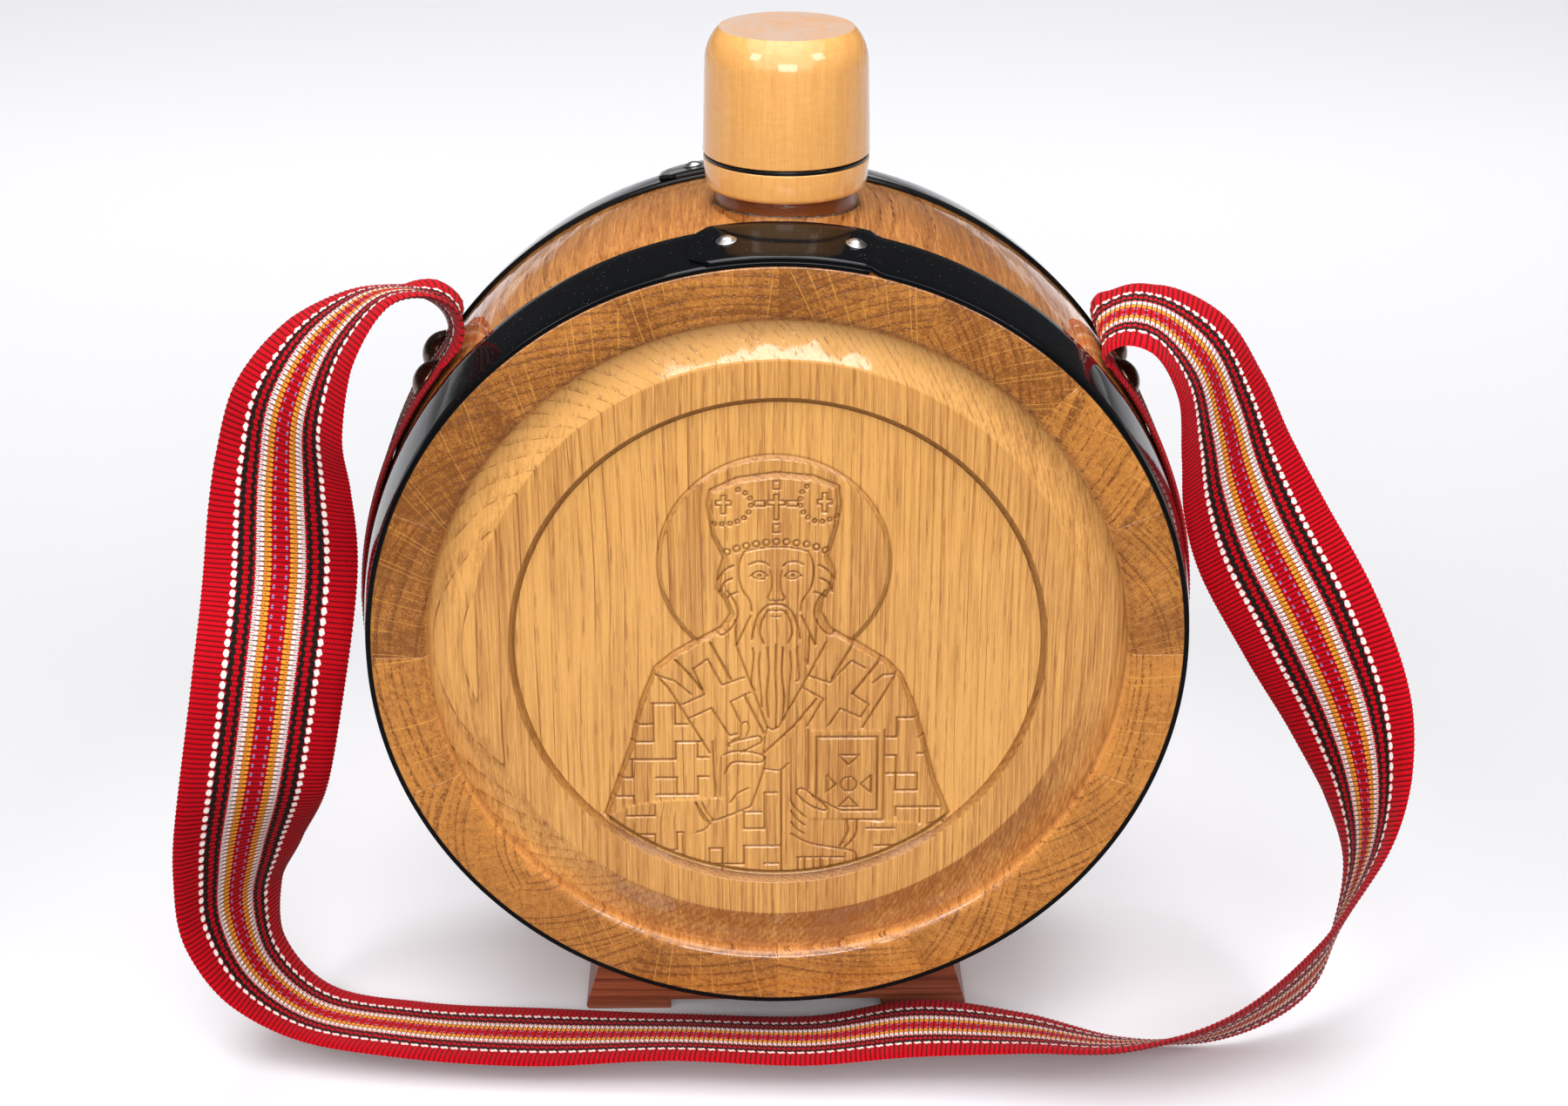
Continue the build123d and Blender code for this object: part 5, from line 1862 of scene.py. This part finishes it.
class CANTEEN_OT_block(bpy.types.Operator):
    """Shapes the block under the belly and finishes the dowels in it"""

    bl_idname = "canteen.block"
    bl_label = "Block"

    def execute(self, context):
        base = settings("base")
        half = BASE_BOX[1].x
        depth = BASE_BOX[1].y - BASE_BOX[0].y
        top = 2 * base.clearance + settings("body").belly_rise
        inner = half - base.foot_length
        lean = top * math.tan(base.splay)
        right = [(inner, base.foot_height, 0), (inner, 0, 0), (half, 0, base.edge), (half - lean, top, 0)]
        outline = rounded(right + [(-x, z, r) for x, z, r in reversed(right)], 4)
        block = draw_outline("base_block", outline, "XZ")
        with editing(block):
            bpy.ops.mesh.edge_face_add()
            bpy.ops.transform.translate(value=(0, -depth / 2, 0))
            bpy.ops.mesh.extrude_region_move(TRANSFORM_OT_translate={"value": (0, depth, 0)})
            face_outwards()
        cut_belly(block)
        apply_modifier(
            block, "BEVEL", width=base.edge / 2, segments=3, limit_method="ANGLE",
            angle_limit=math.radians(40),
        )
        tidy(block)
        finish_piece(
            block, "root", "base_wood", "base",
            materials=[wood("block wood")], grain=fibre_along("X", (45, 30, 0), 0.3), tone=0.5,
        )
        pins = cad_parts["base_pins"]
        lay_grain(pins, fibre_along("Z", (30, 20, 0)), 0.3)
        pins.data.materials.clear()
        pins.data.materials.append(wood("turned wood"))
        return {"FINISHED"}


# Strap

def smooth_value(before, start, end, after, spacing, share):
    """A point of the smooth curve through four, between the middle two."""
    first, middle, last = spacing
    out = (start - before) / first - (end - before) / (first + middle) + (end - start) / middle
    back = (end - start) / middle - (after - start) / (middle + last) + (after - end) / last
    out = out * middle
    back = back * middle
    cubic = (start - end) * 2 + out + back
    square = (end - start) * 3 - out * 2 - back
    return start + out * share + square * share**2 + cubic * share**3


def strap_on_body(side):
    """Places along the strap where it lies on the belly, from its tail to where it leaves."""
    strap = settings("strap")
    radius = BELLY_RADIUS + strap.gap + strap.thickness / 2
    tail = strap.lower_stud_angle + strap.tail / radius
    count = math.ceil((tail - strap.leave_angle) / strap.step_angle)
    step = (tail - strap.leave_angle) / count
    rows = []
    for index in range(count + 1):
        angle = side * (tail - index * step)
        place = CENTRE + Vector((math.sin(angle), 0, math.cos(angle))) * radius
        rows.append((place, Vector((0, 1, 0))))
    return rows


def strap_line(steps=24):
    """The strap's whole course, finely and evenly divided: places and directions across."""
    reach = hoop_radius()
    free = [
        (Vector((x * reach, y * reach, z * CENTRE.z)), Vector((a, b, c)))
        for x, y, z, a, b, c in STRAP_ROUTE_SHARES
    ]
    rows = strap_on_body(-1) + free + strap_on_body(1)[::-1]
    fine = [rows[0]]
    for index in range(1, len(rows) - 2):
        near = rows[index - 1 : index + 3]
        spacing = [(near[i + 1][0] - near[i][0]).length ** 0.5 for i in range(3)]
        for step in range(steps):
            place = smooth_value(*[row[0] for row in near], spacing, step / steps)
            across = smooth_value(*[row[1] for row in near], spacing, step / steps)
            fine.append((place, across))
    fine += rows[-2:]
    places = np.array([list(place) for place, across in fine])
    across = np.array([list(way) for place, way in fine])
    run = np.concatenate(([0], np.cumsum(np.linalg.norm(np.diff(places, axis=0), axis=1))))
    count = 3 * int(run[-1] / settings("strap").rib_pitch) + 1
    even = np.linspace(0, run[-1], count)
    places = np.column_stack([np.interp(even, run, places[:, axis]) for axis in range(3)])
    across = np.column_stack([np.interp(even, run, across[:, axis]) for axis in range(3)])
    along = np.gradient(places, axis=0)
    along /= np.linalg.norm(along, axis=1)[:, None]
    across -= along * np.sum(across * along, axis=1)[:, None]
    across /= np.linalg.norm(across, axis=1)[:, None]
    return even, places, along, across


def webbing_section(count):
    """Places across and out of the webbing's section, once round it, as shares."""
    turn = np.linspace(0, math.tau, 2 * count + 1)
    even = np.interp(turn, [0, math.pi, math.tau], [-1, 1, -1])
    across = -0.35 * np.cos(turn) + 0.65 * even
    out = np.sign(np.sin(turn)) * np.sqrt(np.maximum(1 - np.abs(across) ** 14, 0))
    out[[0, count, 2 * count]] = 0
    return across, out


class CANTEEN_OT_strap(bpy.types.Operator):
    """Weaves the strap along its course, rib by rib"""

    bl_idname = "canteen.strap"
    bl_label = "Strap"

    def execute(self, context):
        strap = settings("strap")
        even, places, along, across = strap_line()
        normal = np.cross(across, along)
        sides, outs = webbing_section(16)
        piece = new_grid("strap_webbing", len(sides) - 1, len(even) - 1)
        rib = np.where(np.arange(len(even)) % 3 == 0, 1.0, -0.5) * strap.rib_height / 2
        half = strap.thickness / 2 - strap.rib_height / 2
        width = strap.width / 2
        lift = outs[None, :] * (half + rib[:, None])
        spread = sides[None, :] * (width + rib[:, None])
        spots = places[:, None, :] + across[:, None, :] * spread[..., None]
        spots = spots + normal[:, None, :] * lift[..., None]
        weave = np.zeros((len(even), len(sides), 3))
        weave[..., 0] = sides[None, :] * width / MM
        weave[..., 1] = even[:, None] / MM
        store(piece, "weave", weave)
        move_points(piece, spots)
        with editing(piece):
            bpy.ops.mesh.remove_doubles(threshold=0.001 * MM)
            choose(piece, lambda edge: edge.is_boundary, "edges")
            bpy.ops.mesh.fill()
            face_outwards()
        smooth(piece, 60)
        finish_piece(piece, "root", "strap_webbing", "strap", materials=[webbing_material()])
        return {"FINISHED"}


def model_stud():
    """A domed nail head with a thin rolled rim."""
    strap = settings("strap")
    radius, rim = strap.stud_radius, strap.stud_rim
    dome = dome_points(radius - rim / 2, strap.stud_height - rim, steps=14)
    outline = [(r, z + rim) for r, z in dome[:-1]]
    outline += [(radius, 0.9 * rim), (radius, 0.3 * rim), (radius - 0.4 * rim, 0), (0, 0)]
    return turn_piece("stud", outline, steps=48, sharp=50)


class CANTEEN_OT_studs(bpy.types.Operator):
    """Turns one nail head and copies it to both flanks"""

    bl_idname = "canteen.studs"
    bl_label = "Nails"

    def execute(self, context):
        strap = settings("strap")
        bronze = metal_material("bronze", settings("finish").bronze, 0.22, 0.05)
        radius = BELLY_RADIUS + strap.gap + strap.thickness
        pattern = model_stud()
        for label, side in (("left", -1), ("right", 1)):
            spread = strap.upper_stud_pitch / 2
            spots = [
                (strap.upper_stud_angle, strap.stud_shift - spread),
                (strap.upper_stud_angle, strap.stud_shift + spread),
                (strap.lower_stud_angle, strap.stud_shift),
            ]
            heads = []
            for index, (angle, depth) in enumerate(spots):
                head = copy_piece(pattern, f"stud_{label}_{index}")
                place = round_body(side * angle) @ Matrix.Translation((radius, depth, 0))
                place_mesh(head, place @ Matrix.Rotation(math.pi / 2, 4, "Y"))
                heads.append(head)
            group = join_pieces(f"studs_{label}", heads)
            finish_piece(group, "root", "stud_bronze", "strap_studs_" + label, materials=[bronze])
        discard(pattern)
        return {"FINISHED"}


# Stage

# Metres, for the floor and for the lamps: name, power setting, size, angle off the front and
# height in degrees, distance, and a target other than the body's centre.
FLOOR_SIZE = 8
FLOOR_SHIFT = 3.6
LAMPS = [
    ("front lamp", "front_power", (0.7, 0.5), 0, 17, 1.7),
    ("key lamp", "key_power", (1.9, 1.6), -4, 53, 1.05),
    ("left lamp", "side_power", (0.44, 0.4), -50, 36, 1.7),
    ("right lamp", "side_power", (0.44, 0.4), 50, 36, 1.7),
    ("top lamp", "top_power", (3.0, 2.6), -8, 64, 4.0),
    ("back lamp", "back_power", (2.4, 1.4), 180, 66, 3.3, (0, 1.3, 0)),
]

# Millimetres on the floor: where its colours start and end, and the colour out of view. Far behind and
# round the body's foot the floor is painted lighter, as painted light that stands in for the lamps' weaker
# reach there and lightens the body's shadow.
CLOTH_FADE = 14
FAR_PAINTED_LIGHT_FADE = (100, 1000)
PAINTED_LIGHT_SPOT = (0, 40, 0)
PAINTED_LIGHT_FADE = (270, 110)
UNLIT_FLOOR = (0.12, 0.12, 0.12, 1)

# Between which shares of a straight look up or back the ceiling, the wall behind and the
# horizon fade.
CEILING_FADE = (0.75, 1.0)
WALL_FADE = (0.2, 0.9)
HORIZON_FADE = (0.04, -0.04)

# The camera's turn in radians: down, right and tilted, and the width of its film in millimetres.
CAMERA_TURN = (0.4212, 0.0180, 0.0036)
FILM_WIDTH = 36


def aim(position, target):
    """A matrix that stands at a position and looks at a target."""
    way = Vector(target) - Vector(position)
    return Matrix.Translation(position) @ way.to_track_quat("-Z", "Y").to_matrix().to_4x4()


def add_lamp(name, power, size, azimuth, elevation, distance, target=CENTRE):
    """A soft lamp that looks at the body from an angle off the front and a height."""
    lamp = bpy.data.lights.new(name, "AREA")
    lamp.energy = power
    lamp.shape = "RECTANGLE"
    lamp.size, lamp.size_y = size
    turn, rise = math.radians(azimuth), math.radians(elevation)
    way = Vector((math.sin(turn) * math.cos(rise), -math.cos(turn) * math.cos(rise), math.sin(rise)))
    holder = bpy.data.objects.new(name, lamp)
    bpy.context.scene.collection.objects.link(holder)
    holder.matrix_world = aim(CENTRE + way * distance, target)


def floor_material():
    """A white cloth in the view and behind it, painted lighter far behind and round the body's foot as
    painted light, and an unlit dark floor in front, out of view.
    """
    stage = settings("stage")
    material, tree, shader = new_material("floor", Roughness=0.9, Specular_IOR_Level=0.1)
    place = object_millimetres(tree)
    away = parts_of(place)[1]
    end = stage.cloth_end / MM
    near = ramp(away, end, end - CLOTH_FADE)
    # Painted light: lighter far behind, where the lamps reach less.
    colour = mix(tree, ramp(away, *FAR_PAINTED_LIGHT_FADE), paint(stage.floor), paint(stage.far_floor_painted_light))
    # Painted light: lighter round the body's foot, where its shadow falls.
    from_painted_light = vector_calc(tree, "DISTANCE", {0: place, 1: PAINTED_LIGHT_SPOT}, output="Value")
    colour = mix(tree, ramp(from_painted_light, *PAINTED_LIGHT_FADE), colour, paint(stage.painted_light_under_body))
    feed(tree, shader, {"Base Color": mix(tree, near, colour, UNLIT_FLOOR)})
    return material


def room_light(world):
    """Even light from all round, more from above and from the white wall behind."""
    stage = settings("stage")
    tree = world.node_tree
    path = by_name(tree, tree.nodes.new("ShaderNodeLightPath"))
    seen = calc(tree, "MAXIMUM", path["Is Camera Ray"], path["Is Transmission Ray"])
    away, up = parts_of(add_node(tree, "ShaderNodeTexCoord")["Object"])[1:]
    wall = ramp(away, *WALL_FADE) * ramp(up, *HORIZON_FADE)
    glow = (stage.room + ramp(up, *CEILING_FADE, 0.0, stage.sky)) + wall * stage.back
    strength = calc(tree, "MAXIMUM", glow, seen)
    feed(tree, tree.nodes["Background"], {"Color": (1, 1, 1, 1), "Strength": strength})


class CANTEEN_OT_stage(bpy.types.Operator):
    """Lays the floor and sets the lamps, the room's light and the camera"""

    bl_idname = "canteen.stage"
    bl_label = "Stage"

    def execute(self, context):
        stage = settings("stage")
        floor = new_piece("floor", bpy.ops.mesh.primitive_plane_add, size=FLOOR_SIZE)
        place_mesh(floor, Matrix.Translation((0, FLOOR_SHIFT, 0)))
        floor.data.materials.append(floor_material())

        world = bpy.data.worlds.new("room")
        context.scene.world = world
        world.use_nodes = True
        room_light(world)
        for name, power, *place in LAMPS:
            add_lamp(name, getattr(stage, power), *place)

        lens = bpy.data.cameras.new("camera")
        lens.lens = stage.lens
        lens.sensor_width = FILM_WIDTH
        camera = bpy.data.objects.new("camera", lens)
        context.scene.collection.objects.link(camera)
        camera.matrix_world = camera_matrix()
        context.scene.camera = camera
        context.scene.view_settings.view_transform = "Standard"
        return {"FINISHED"}


def camera_matrix():
    """The camera's place and turn, worked out from its pitch, yaw and roll."""
    stage = settings("stage")
    pitch, yaw, roll = CAMERA_TURN
    ahead = Vector((math.sin(yaw) * math.cos(pitch), math.cos(yaw) * math.cos(pitch), -math.sin(pitch)))
    level = Vector((math.cos(yaw), -math.sin(yaw), 0))
    up = level.cross(ahead)
    right = level * math.cos(roll) + up * math.sin(roll)
    up = up * math.cos(roll) - level * math.sin(roll)
    turn = Matrix((right, up, -ahead)).transposed().to_4x4()
    place = (stage.camera_shift, -stage.camera_distance, stage.camera_height)
    return Matrix.Translation(place) @ turn


OPERATORS = [
    CANTEEN_OT_stage, CANTEEN_OT_staves, CANTEEN_OT_heads, CANTEEN_OT_carving, CANTEEN_OT_hoops,
    CANTEEN_OT_neck, CANTEEN_OT_cap, CANTEEN_OT_block, CANTEEN_OT_studs, CANTEEN_OT_strap,
]
GROUPS = {
    "body": BodySizes, "carving": CarvingSizes, "neck": NeckSizes, "base": BaseSizes, "strap": StrapSizes,
    "finish": Finishes, "stage": StageSettings,
}


class CANTEEN_PT_panel(bpy.types.Panel):
    """Lists the canteen's pieces in the order in which they are made"""

    bl_idname = "CANTEEN_PT_panel"
    bl_label = "Canteen"
    bl_space_type = "VIEW_3D"
    bl_region_type = "UI"
    bl_category = "Canteen"

    def draw(self, context):
        for operator in OPERATORS:
            self.layout.operator(operator.bl_idname)
        for name, group in GROUPS.items():
            column = self.layout.column(heading=name.capitalize())
            for field in group.__annotations__:
                column.prop(settings(name), field)


def register():
    """Adds the panel, the operators and the settings to Blender."""
    for group in GROUPS.values():
        bpy.utils.register_class(group)
    for operator in OPERATORS:
        bpy.utils.register_class(operator)
    bpy.utils.register_class(CANTEEN_PT_panel)
    for name, group in GROUPS.items():
        setattr(bpy.types.Scene, "canteen_" + name, PointerProperty(type=group))


def unregister():
    """Takes all of it out again."""
    for name in GROUPS:
        delattr(bpy.types.Scene, "canteen_" + name)
    for kind in [CANTEEN_PT_panel] + OPERATORS + list(GROUPS.values()):
        bpy.utils.unregister_class(kind)


def main():
    """Makes every piece in order."""
    register()
    for operator in OPERATORS:
        group, name = operator.bl_idname.split(".")
        getattr(getattr(bpy.ops, group), name)()


if __name__ == "__main__":
    main()
